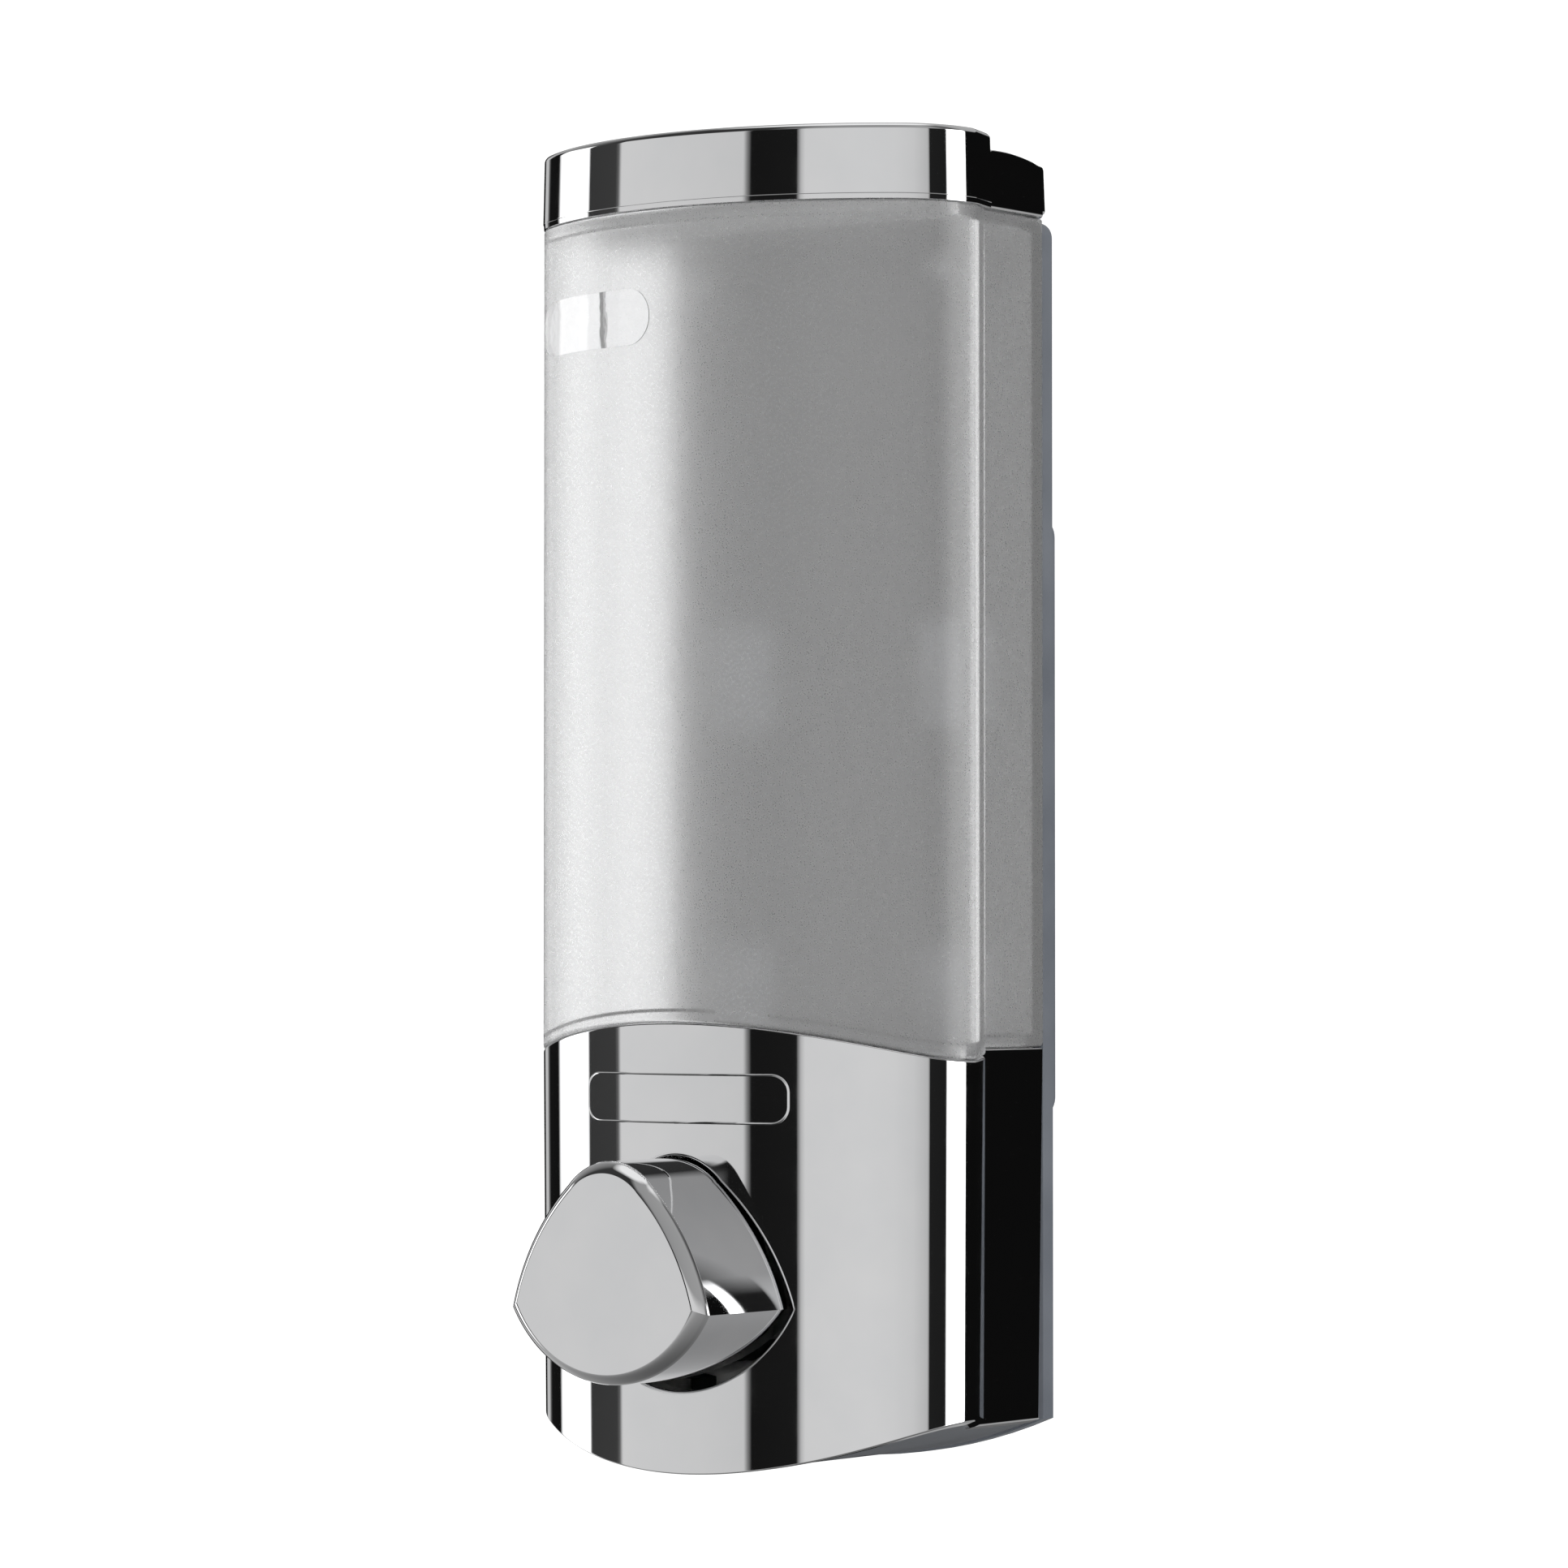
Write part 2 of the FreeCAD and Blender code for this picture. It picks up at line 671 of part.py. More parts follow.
def make_reservoir():
    tall = "reservoir_top - bottom"

    def over_arch(name, inset, lift):
        """The inset outline, kept above the arch in front and above the flank's top at the rear."""
        prism = extrude(f"{name}_prism", "plan", "bottom", f"{tall} - ({lift})", *plan_outline(inset))
        arch = rectangle("-half_past", "half_past", arch_up(lift), "reservoir_top")
        front = extrude(f"{name}_front", "front", "step_back", FRONT_LENGTH, arch, {0: ("arch_radius", 1)})
        flank = rectangle("-half_past", "half_past", f"arch_top - flank_top_drop + ({lift})", "reservoir_top")
        rear = extrude(f"{name}_rear", "front", "plate_front + overshoot", REAR_LENGTH, flank)
        return overlap(name, [prism, fuse(f"{name}_band", [front, rear])])

    outer = over_arch("reservoir_outer", "0", "0")
    skirt = extrude("reservoir_skirt", "plan", "floor_bottom", "skirt_depth + arch_overlap",
                    *plan_outline("skirt_inset", rear="plate_front - cover_gap"))
    neck = cylinder("reservoir_neck", "neck_radius", "floor_bottom - neck_end + reservoir_wall / 2",
                    (0, "port_back", "neck_end"))
    cavity = over_arch("reservoir_cavity", "reservoir_wall", "reservoir_wall")
    well = extrude("reservoir_well", "plan", "floor_bottom + reservoir_wall", "skirt_depth + arch_overlap",
                   *plan_outline("skirt_inset + reservoir_wall", rear="plate_front - reservoir_wall"))
    cavity_ends = extrude("reservoir_rear_limit", "plan", "bottom", tall,
                          *plan_outline("reservoir_wall", rear="plate_front - reservoir_wall"))
    hollow = overlap("reservoir_hollow", [fuse("reservoir_space", [cavity, well]), cavity_ends])
    mouth = extrude("reservoir_mouth", "plan", "deck_low", "deck_cut",
                    *plan_outline("mouth_inset", rear="lid_rear - mouth_inset", stepped=False))
    bore = cylinder("reservoir_bore", "neck_bore", "floor_bottom - neck_end + reservoir_wall + 2 * overshoot",
                    (0, "port_back", "neck_end - overshoot"))
    bosses = [cylinder(f"reservoir_boss_{i}", "boss_radius", "screw_length",
                       (across, "plate_front - reservoir_wall / 2", up), TO_FRONT)
              for i, (across, up) in enumerate(reservoir_screw_places())]
    holes = [screw_hole(f"reservoir_hole_{i}", across, up)
             for i, (across, up) in enumerate(reservoir_screw_places())]
    pegs = [cylinder(f"reservoir_peg_hole_{i}", "peg_radius + screw_clearance", "deck_cut",
                     (f"{side} * reservoir_screw_across / 2", "peg_back", "deck_low"))
            for i, side in enumerate((-1, 1))]
    window = recess("reservoir_window", rounded("-window_offset", "(reservoir_top - window_drop)",
                                                "window_width", "window_height", "window_height * 0.49"))
    shell = cut("reservoir_shell", fuse("reservoir_block", [outer, skirt, neck]), hollow)
    bossed = fuse("reservoir_bossed", [shell] + bosses)
    return cut("reservoir", bossed, fuse("reservoir_cuts", [mouth, bore, window] + holes + pegs))


# ---- lid, seal, hinge cap and pin ----

def at_height(height, slack=1e-3):
    """Picks the edges that lie wholly at one height."""
    level = number(height)
    return lambda edge: all(abs(v.Point.z - level) < slack for v in edge.Vertexes)


def lid_outline(inset):
    """The lid's own outline, moved in from its outer faces, its rear one included."""
    return plan_outline(f"({inset}) - lid_outset", rear=f"lid_rear - ({inset})", stepped=False)


def make_lid():
    body = doc.addObject("PartDesign::Body", "lid")
    pad(body, "plan", "lid_base", "lid_height", *lid_outline("0"))
    round_edges(body, "lid_round", at_height("lid_base + lid_height"))
    pocket(body, "plan", "lid_base", "lid_height - lid_wall", *lid_outline("lid_wall"))
    roof = "lid_base + lid_height - lid_wall"
    rib_low = "lid_base + seal_height / 2"
    outside = "seal_inset + (seal_width - rib_width) / 2"
    rib = pad(body, "plan", rib_low, f"{roof} - ({rib_low}) + lid_wall / 2", *lid_outline(outside))
    draw(rib.Profile[0], *lid_outline(f"{outside} + rib_width"))
    for side in (-1, 1):
        ends = sorted((f"{side} * (knuckle_inner + cap_gap)", f"{side} * (knuckle_outer - cap_gap)"),
                      key=number)
        length = "knuckle_outer - knuckle_inner - 2 * cap_gap"
        pad(body, "side", ends[0], length,
            circles=[("hinge_back", "hinge_up", "hinge_barrel - 2 * fit_clearance")])
        web = rectangle("lid_rear - lid_wall / 2", "hinge_back",
                        "hinge_up - hinge_barrel * 0.6", "hinge_up + hinge_barrel * 0.6")
        pad(body, "side", ends[0], length, web)
        pocket(body, "side", ends[0], length,
               circles=[("hinge_back", "hinge_up", "hinge_pin_radius + hinge_clearance")])
    return body


def make_lid_seal():
    body = doc.addObject("PartDesign::Body", "lid_seal")
    ring = pad(body, "plan", "lid_base", "seal_height", *lid_outline("seal_inset"))
    draw(ring.Profile[0], *lid_outline("seal_inset + seal_width"))
    outside = "seal_inset + (seal_width - rib_width) / 2"
    groove = pocket(body, "plan", "lid_base + seal_height / 2", "seal_height / 2", *lid_outline(outside))
    draw(groove.Profile[0], *lid_outline(f"{outside} + rib_width"))
    return body


def make_hinge_cap():
    """A hollow block that carries the hinge. Its nose is round about the pin, so that the lid clears it."""
    back, roof = "-cap_setback", "lid_base + cap_rear_height"
    profile = [("cap_front", "lid_base"), (back, "lid_base"), (back, roof),
               ("cap_front", "lid_base + cap_front_height")]
    block = extrude("cap_block", "side", "-cap_half", "2 * cap_half", profile, {2: ("cap_crown", -1)})
    inner = rectangle("cap_front + lid_wall", f"{back} - lid_wall", "lid_base", f"{roof} - lid_wall")
    hollow = extrude("cap_hollow", "side", "-cap_half + lid_wall", "2 * cap_half - 2 * lid_wall", inner)
    barrel = extrude("cap_barrel", "side", "-cap_half + lid_wall / 2", "2 * cap_half - lid_wall", None,
                     circles=[("hinge_back", "hinge_up", "hinge_barrel")])
    pegs = [cylinder(f"cap_peg_{i}", "peg_radius", f"{roof} - lid_wall / 2 - peg_low",
                     (f"{side} * reservoir_screw_across / 2", "peg_back", "peg_low"))
            for i, side in enumerate((-1, 1))]
    whole = fuse("cap_whole", [cut("cap_shell", block, hollow), barrel] + pegs)
    nose = extrude("cap_nose", "side", "-cap_half - overshoot", "2 * cap_half + 2 * overshoot",
                   [("cap_front", "hinge_up"), ("hinge_back", "hinge_up + hinge_barrel"),
                    ("cap_front", "hinge_up + hinge_barrel + overshoot"),
                    ("cap_front - overshoot", "hinge_up + hinge_barrel")],
                   {0: ("hinge_barrel", 1)})
    slot = ("knuckle_outer - knuckle_inner", "2 * hinge_barrel + cap_gap + overshoot", "4 * hinge_barrel")
    slots = [box(f"cap_slot_{i}", slot, (start, "cap_front - overshoot", "hinge_up - hinge_barrel - cap_gap"))
             for i, start in enumerate(("-knuckle_outer", "knuckle_inner"))]
    pin = cylinder("cap_pin_hole", "hinge_pin_radius", "2 * cap_half - 2 * lid_wall",
                   ("-cap_half + lid_wall", "hinge_back", "hinge_up"), TO_X)
    return cut("hinge_cap", whole, fuse("cap_cuts", [nose, pin] + slots))


def make_hinge_pin():
    long = "(2 * cap_half - 2 * lid_wall)"
    profile = [("0", "0"), ("hinge_pin_radius", "0"), ("hinge_pin_radius", long), ("0", long)]
    return turned("hinge_pin", profile, (f"-{long} / 2", "hinge_back", "hinge_up"), TO_X)


# ---- front cover and base plate ----

def make_front_cover():
    tall = "cover_height + 2 * overshoot"
    outer = extrude("cover_outer", "plan", "bottom - overshoot", tall, *plan_outline())
    front = rectangle("-half_past", "half_past", smile_up("0"), arch_up("0"))
    rear = rectangle("-half_past", "half_past", smile_up("0"), "arch_top - flank_top_drop")
    band = fuse("cover_band", [
        extrude("cover_band_front", "front", "step_back", FRONT_LENGTH, front,
                {0: ("smile_radius", -1), 2: ("arch_radius", -1)}),
        extrude("cover_band_rear", "front", "plate_front + overshoot", REAR_LENGTH, rear,
                {0: ("smile_radius", -1)})])
    hollow = extrude("cover_hollow", "plan", "bottom - 2 * overshoot", f"{tall} + 2 * overshoot",
                     *plan_outline("cover_wall", rear="plate_front + 2 * overshoot"))
    shell = cut("cover_shell", overlap("cover_block", [outer, band]), hollow)
    ring = extrude("cover_collar_prism", "front", "collar_back", "collar_reach + 4 * overshoot",
                   *button_outline("opening_margin + collar_wall", "opening_sag", "button_flare"))
    bosses = [cylinder(f"cover_boss_{i}", "cover_boss_radius", "cover_boss_length",
                       (x, "plate_front", z), TO_FRONT) for i, (x, z) in enumerate(cover_screw_places())]
    holes = [screw_hole(f"cover_hole_{i}", x, z) for i, (x, z) in enumerate(cover_screw_places())]
    opening = extrude("cover_opening", "front", "collar_back + overshoot", "collar_reach + 6 * overshoot",
                      *button_outline("opening_margin", "opening_sag", "button_flare"))
    label = recess("cover_label", rounded("0", "(arch_top - label_drop)", "label_width", "label_height",
                                          "label_corner"))
    whole = fuse("cover_whole", [shell, overlap("cover_collar", [outer, ring])] + bosses)
    return cut("front_cover", whole, fuse("cover_cuts", [opening, label] + holes))


def make_base_plate():
    prism = extrude("base_prism", "plan", "bottom - overshoot", "smile_rise + base_thickness + 2 * overshoot",
                    *plan_outline("skirt_inset", rear="plate_front - cover_gap"))
    slab = rectangle("-half_past", "half_past", smile_up("base_recess"),
                     smile_up("base_recess + base_thickness"))
    band = extrude("base_band", "front", "0", "body_depth + overshoot", slab,
                   {0: ("smile_radius", -1), 2: ("smile_radius", 1)})
    plate = overlap("base_slab", [prism, band])
    height = "(base_web + screw_head_height + screw_spare)"
    bosses = [cylinder(f"base_boss_{i}", "post_radius + overshoot", height,
                       (x, "post_back", f"base_seat - {height}")) for i, x in enumerate(post_places())]
    holes = [cylinder(f"base_hole_{i}", "screw_radius + screw_clearance", "base_seat - bottom + overshoot",
                      (x, "post_back", "bottom")) for i, x in enumerate(post_places())]
    sinks = [cylinder(f"base_sink_{i}", "screw_head_radius + head_clearance",
                      "base_seat - base_web - bottom + overshoot", (x, "post_back", "bottom - overshoot"))
             for i, x in enumerate(post_places())]
    outlet = cylinder("base_outlet", "nozzle_hole", "base_recess + base_thickness + 3 * overshoot",
                      (0, "port_back", "bottom - overshoot"))
    return cut("base_plate", fuse("base_whole", [plate] + bosses), fuse("base_cuts", holes + sinks + [outlet]))


# ---- pump ----

def make_pump_body():
    length = "(-pump_face - pump_rear)"
    barrel = cylinder("pump_barrel", "pump_bore + pump_wall", length, (0, "-pump_rear", "axis_up"), TO_FRONT)
    flange = box("pump_flange", ("flange_width", "flange_thickness", "flange_height"),
                 ("-flange_width / 2", "-pump_rear - flange_thickness", "axis_up - flange_height / 2"))
    legs = [cylinder(f"pump_leg_{i}", "boss_radius", "pump_rear + plate_front + overshoot",
                     (x, "plate_front", z), TO_FRONT) for i, (x, z) in enumerate(pump_screw_places())]
    posts = [cylinder(f"pump_post_{i}", "post_radius", "axis_up - flange_height / 2 - base_seat + post_radius",
                      (x, "post_back", "base_seat")) for i, x in enumerate(post_places())]
    socket = cylinder("pump_socket", "socket_radius + socket_wall",
                      "socket_top - axis_up - pump_bore + overshoot",
                      (0, "port_back", "axis_up + pump_bore - overshoot"))
    outlet = cylinder("pump_outlet", "outlet_bore + outlet_wall", "axis_up - pump_bore - outlet_end",
                      (0, "port_back", "outlet_end"))
    block = fuse("pump_block", [barrel, flange, socket, outlet] + legs + posts)
    bore = cylinder("pump_bore_space", "pump_bore", f"{length} - pump_end + overshoot",
                    (0, "-pump_rear - pump_end", "axis_up"), TO_FRONT)
    socket_bore = cylinder("pump_socket_bore", "socket_radius", "socket_depth + valve_flange + overshoot",
                           (0, "port_back", "neck_end - valve_flange"))
    port = cylinder("pump_port", "port_radius", "socket_top - axis_up", (0, "port_back", "axis_up"))
    drain = cylinder("pump_drain", "seat_hole + screw_spare", "axis_up - outlet_top + overshoot",
                     (0, "port_back", "outlet_top - overshoot"))
    outlet_bore = cylinder("pump_outlet_bore", "outlet_bore", "outlet_top - outlet_end + overshoot",
                           (0, "port_back", "outlet_end - overshoot"))
    holes = [screw_hole(f"pump_hole_{i}", x, z) for i, (x, z) in enumerate(pump_screw_places())]
    post_holes = [cylinder(f"pump_post_hole_{i}", "screw_radius + screw_clearance",
                           "screw_length - base_web + screw_spare + overshoot",
                           (x, "post_back", "base_seat - overshoot")) for i, x in enumerate(post_places())]
    cuts = [bore, socket_bore, port, drain, outlet_bore] + holes + post_holes
    return cut("pump_body", block, fuse("pump_cuts", cuts))


def make_pump_gland():
    high, low = "gland_thickness", "-gland_spigot"
    bore, spigot = "rod_radius + rod_clearance", "pump_bore - fit_clearance"
    profile = [(bore, low), (spigot, low), (spigot, "0"), ("pump_bore + pump_wall", "0"),
               ("pump_bore + pump_wall", high), (bore, high)]
    return turned("pump_gland", profile, (0, "pump_face", "axis_up"), TO_FRONT)


def make_piston_rod():
    long = "piston_face - button_inside - rod_gap"
    tail = "-(piston_length + rod_tail_end)"
    profile = [("0", tail), ("rod_tail", tail), ("rod_tail", "0"), ("rod_radius", "0"),
               ("rod_radius", long), ("0", long)]
    return turned("piston_rod", profile, (0, "piston_face", "axis_up"), TO_FRONT)


def make_piston():
    outer = "pump_bore - piston_clearance"
    low = "(piston_length - groove_width) / 2"
    high = "(piston_length + groove_width) / 2"
    deep = f"{outer} - groove_depth"
    profile = [("rod_tail", "0"), (outer, "0"), (outer, low), (deep, low), (deep, high), (outer, high),
               (outer, "piston_length"), ("rod_tail", "piston_length")]
    return turned("piston", profile, (0, "piston_face", "axis_up"), TO_BACK)


def make_piston_seal():
    inner = "pump_bore - piston_clearance - groove_depth"
    outer = "pump_bore - piston_clearance / 2"
    low = "(piston_length - groove_width) / 2 + fit_clearance"
    high = "(piston_length + groove_width) / 2 - fit_clearance"
    profile = [(inner, low), (outer, low), (outer, high), (inner, high)]
    return turned("piston_seal", profile, (0, "piston_face", "axis_up"), TO_BACK)


def make_neck_o_ring():
    ring = doc.addObject("Part::Torus", "neck_o_ring")
    bind(ring, Radius1="(neck_radius + socket_radius) / 2", Radius2="(socket_radius - neck_radius) / 2")
    return place(ring, (0, "port_back", "socket_top - o_ring_drop"))


def make_inlet_valve():
    """A silicone duckbill: a flange under the reservoir's neck, and a bill that points into the cylinder."""
    flange, bill = "socket_radius - 2 * fit_clearance", "port_radius - 4 * fit_clearance"
    bore = "neck_bore * 0.7"
    low = "axis_up + pump_bore - bill_reach - neck_end"
    profile = [(bore, "0"), (flange, "0"), (flange, "-valve_flange"), (bill, "-valve_flange"),
               (bill, f"{low} + bill_length"), ("bill_tip", low), ("0", low), ("0", f"{low} + valve_flange"),
               (bore, f"{low} + bill_length + valve_flange")]
    return turned("inlet_valve", profile, (0, "port_back", "neck_end"))


def make_outlet_seat():
    profile = [("seat_hole", "0"), ("outlet_bore", "0"), ("outlet_bore", "-seat_height"),
               ("seat_hole", "-seat_height")]
    return turned("outlet_seat", profile, (0, "port_back", "outlet_top"))


def make_outlet_ball():
    ball = doc.addObject("Part::Sphere", "outlet_ball")
    bind(ball, Radius="ball_radius")
    return place(ball, (0, "port_back", "ball_up"))


def make_nozzle():
    collar = "outlet_bore + outlet_wall"
    tip = "bottom + nozzle_tip_gap - outlet_end"
    profile = [("nozzle_cup", "nozzle_insert"), ("outlet_bore", "nozzle_insert"), ("outlet_bore", "0"),
               (collar, "0"), (collar, "-nozzle_collar"), ("nozzle_radius", "-nozzle_collar"),
               ("nozzle_radius", tip),
               ("nozzle_bore", tip), ("nozzle_bore", "0"), ("nozzle_cup", "0")]
    return turned("nozzle", profile, (0, "port_back", "outlet_end"))


def make_spring(name, radius, wire, turns, length, base, turn):
    """A round wire swept along a helix, between two faces that are length apart."""
    helix = doc.addObject("Part::Helix", f"{name}_helix")
    bind(helix, Radius=radius, Pitch=f"({length} - 2 * {wire}) / {turns}", Height=f"{length} - 2 * {wire}")
    helix.SegmentLength = 0.25
    section = doc.addObject("Part::Circle", f"{name}_section")
    bind(section, Radius=wire)
    place(section, (radius, 0, 0), TO_FRONT)
    spring = doc.addObject("Part::Sweep", name)
    spring.Sections = [section]
    spring.Spine = (helix, [])
    spring.Solid = True
    spring.Frenet = True
    return place(spring, base, turn)


# ---- button ----

def make_push_button():
    def loft(name, front, thin):
        """The button's solid form from front to its rear end, thinned by thin all round."""
        sections = []
        for end, (level, flare) in enumerate(((front, "0"), ("button_rear", "button_flare"))):
            sketch = doc.addObject("Sketcher::SketchObject", f"{name}_sketch_{end}")
            place(sketch, (0, level, 0), VIEWS["front"])
            draw(sketch, *button_outline(f"-({thin})", flare=flare))
            sections.append(sketch)
        solid = doc.addObject("Part::Loft", name)
        solid.Sections = sections
        solid.Solid = True
        solid.Ruled = True
        return solid

    outer = loft("button_outer", "button_face", "0")
    doc.recompute()
    front = number("button_face")
    rim = [index for index, edge in enumerate(outer.Shape.Edges, start=1)
           if all(abs(v.Point.y - front) < 1e-3 for v in edge.Vertexes)]
    rounded_outer = doc.addObject("Part::Fillet", "button_rounded")
    rounded_outer.Base = outer
    radius = number("button_round")
    rounded_outer.Edges = [(index, radius, radius) for index in rim]
    inner = loft("button_inner", "button_inside", "button_wall")
    boss = cylinder("button_boss", "button_boss_radius", "button_boss_length + button_wall / 2",
                    (0, "boss_face", "axis_up"), TO_FRONT)
    hole = cylinder("button_rod_hole", "rod_radius", "button_boss_length + overshoot - rod_gap",
                    (0, "boss_face + overshoot", "axis_up"), TO_FRONT)
    shell = cut("button_shell", rounded_outer, inner)
    return cut("push_button", fuse("button_bossed", [shell, boss]), hole)


NODES = [
    make_wall_bracket(),
    make_adhesive_pads(),
    make_back_plate(),
    make_reservoir(),
    make_lid(),
    make_lid_seal(),
    make_hinge_cap(),
    make_hinge_pin(),
    make_front_cover(),
    make_base_plate(),
    make_pump_body(),
    make_pump_gland(),
    make_piston_rod(),
    make_piston(),
    make_piston_seal(),
    make_neck_o_ring(),
    make_inlet_valve(),
    make_outlet_seat(),
    make_outlet_ball(),
    make_nozzle(),
    make_push_button(),
    make_spring("return_spring", "spring_radius", "spring_wire", "spring_turns",
                "gland_face - button_inside",
                (0, "gland_face - spring_wire", "axis_up"), TO_FRONT),
    make_spring("outlet_spring", "ball_spring_radius", "ball_spring_wire", "ball_spring_turns",
                "ball_up - sqrt(ball_radius ^ 2 - ball_spring_radius ^ 2) - outlet_end - 2 * fit_clearance",
                (0, "port_back", "outlet_end + ball_spring_wire"), FreeCAD.Rotation()),
    make_screws("pump_screws", [(x, "screw_seat", z) for x, z in pump_screw_places()], TO_FRONT),
    make_screws("reservoir_screws", [(x, "screw_seat", z) for x, z in reservoir_screw_places()], TO_FRONT),
    make_screws("cover_screws", [(x, "screw_seat", z) for x, z in cover_screw_places()], TO_FRONT),
    make_screws("base_screws", [(x, "post_back", "base_seat - base_web") for x in post_places()],
                FreeCAD.Rotation()),
]

doc.recompute()
for item in doc.Objects:
    if "Invalid" in item.State or "Error" in item.State:
        raise RuntimeError(f"{item.Name} did not build: {item.State}")
os.makedirs("parts", exist_ok=True)
for node in NODES:
    shape = node.Shape
    if shape.isNull() or not shape.isValid():
        raise RuntimeError(f"{node.Name} has no valid shape")
    if not shape.Solids:
        raise RuntimeError(f"{node.Name} holds no solid")
    shape.exportStep(f"parts/{node.Name}.step")
    print(node.Name, len(shape.Solids), round(shape.Volume, 1))
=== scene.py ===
import math

import bmesh
import bpy
import numpy as np
from mathutils import Matrix, Vector


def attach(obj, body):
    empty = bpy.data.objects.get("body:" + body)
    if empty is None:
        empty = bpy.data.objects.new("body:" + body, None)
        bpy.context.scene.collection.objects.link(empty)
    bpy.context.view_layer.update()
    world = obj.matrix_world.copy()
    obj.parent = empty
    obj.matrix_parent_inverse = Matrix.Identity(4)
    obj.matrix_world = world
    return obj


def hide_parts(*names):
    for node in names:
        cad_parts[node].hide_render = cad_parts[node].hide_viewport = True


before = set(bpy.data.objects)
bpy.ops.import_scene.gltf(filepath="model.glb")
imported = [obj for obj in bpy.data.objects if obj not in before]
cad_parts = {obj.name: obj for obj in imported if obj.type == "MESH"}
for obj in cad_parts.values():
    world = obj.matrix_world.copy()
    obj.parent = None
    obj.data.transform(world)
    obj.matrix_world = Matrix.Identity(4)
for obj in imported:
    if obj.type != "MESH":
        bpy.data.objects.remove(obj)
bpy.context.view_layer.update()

MM = 0.001

# ---- the CAD's own sizes, in millimetres ----
FRONT_RADIUS, FRONT_CENTRE = 65.0, 5.2
CORNER_RADIUS, CORNER_ACROSS, WIDEST = 18.7, 27.75, -31.86
SIDE, TAPER, STEP, STEP_BACK = 46.45, 1.8, 1.4, -26.66
PLATE_FRONT, LID_REAR, CAP_FRONT, CAP_REAR = -6.0, -24.6, -24.3, -4.8
ARCH_TOP, ARCH_RADIUS, FLANK_TOP = -37.3, 164.4, -42.0
BOTTOM, SMILE_RADIUS = -117.6, 115.0
LID_BASE, LID_TOP, DECK = 108.8, 122.4, 108.7
AXIS_UP, BUTTON_FACE, BUTTON_REAR = -81.5, 80.5, 52.5
BUTTON_HALF, BUTTON_ABOVE, BUTTON_BELOW, BUTTON_DROP = 21.7, 20.2, 19.2, 6.2
BUTTON_TOP_RADIUS, BUTTON_SIDE_RADIUS = 12.0, 44.0
HINGE_BACK, HINGE_UP = -22.7, 118.1
WALL = 1.8
WINDOW_CENTRE, WINDOW_WIDE, WINDOW_HIGH = (-23.0, 89.7), 34.5, 10.2

# ---- outlines: K points, anticlockwise about the direction that they are swept in ----


def arc(centre, radius, start, end, count):
    """Points of an arc, its last one left out. Angles are in degrees."""
    turn = np.radians(np.linspace(start, end, count, endpoint=False))
    return np.stack([centre[0] + radius * np.cos(turn), centre[1] + radius * np.sin(turn)], 1)


CORNER_ANGLE = math.degrees(math.atan2(-(FRONT_CENTRE - WIDEST), CORNER_ACROSS))
# How far across the front's arc meets the corners'.
TANGENT = CORNER_ACROSS * FRONT_RADIUS / (FRONT_RADIUS - CORNER_RADIUS)


def plan_path(inset=0.0, rear=PLATE_FRONT, stepped=True):
    """The dispenser's outline from above, from the left rear corner round the front to the right rear one."""
    side = SIDE - inset
    step = STEP_BACK - inset if stepped else rear
    back = side - TAPER - (STEP if stepped else 0.0)
    corner, front = CORNER_RADIUS - inset, FRONT_RADIUS - inset
    flank = np.array([(side, WIDEST), (side - TAPER, step), (back, step), (back, rear)])
    return np.concatenate([
        flank[::-1] * (-1, 1),
        arc((-CORNER_ACROSS, WIDEST), corner, 180, 180 - CORNER_ANGLE, 30)[1:],
        arc((0, FRONT_CENTRE), front, 180 - CORNER_ANGLE, 360 + CORNER_ANGLE, 72),
        arc((CORNER_ACROSS, WIDEST), corner, CORNER_ANGLE, 0, 30),
        flank])


def bowed(start, end, radius, count):
    """The arc from start to end that bulges to the right of the way there, its end left out."""
    start, end = np.array(start), np.array(end)
    way = end - start
    half = np.linalg.norm(way) / 2
    left = np.array([-way[1], way[0]]) / (2 * half)
    centre = (start + end) / 2 + left * math.sqrt(max(radius ** 2 - half ** 2, 0))
    first, last = (math.degrees(math.atan2(*(point - centre)[::-1])) for point in (start, end))
    return arc(centre, radius, first, last + (360 if last < first else 0), count)


def button_ring(grow=0.0, flare=0.0, sag=0.0, bevel=0.0):
    """The button from the front: a round top, two bowed sides, two corners and a bowed lower edge.
    flare moves the lower corners out, sag the lower edge down, and bevel draws all of it in."""
    wide = BUTTON_HALF + grow + flare - bevel
    top = AXIS_UP + BUTTON_ABOVE + grow - 0.87 * bevel
    low = AXIS_UP - BUTTON_BELOW - grow - sag + 0.78 * bevel
    corner = AXIS_UP - BUTTON_DROP + 0.4 * bevel
    shoulder = BUTTON_HALF * 0.42 + 0.7 * (grow - bevel) + 0.2 * flare
    crown = BUTTON_TOP_RADIUS + grow - 0.87 * bevel
    flank = BUTTON_SIDE_RADIUS + grow - bevel
    shoulder_up = top - (crown - math.sqrt(crown ** 2 - shoulder ** 2))
    deep = corner - low
    base = (wide ** 2 + deep ** 2) / (2 * deep)
    return np.concatenate([
        bowed((shoulder, shoulder_up), (-shoulder, shoulder_up), crown, 36),
        bowed((-shoulder, shoulder_up), (-wide, corner), flank, 30),
        bowed((-wide, corner), (wide, corner), base, 60),
        bowed((wide, corner), (shoulder, shoulder_up), flank, 30)])


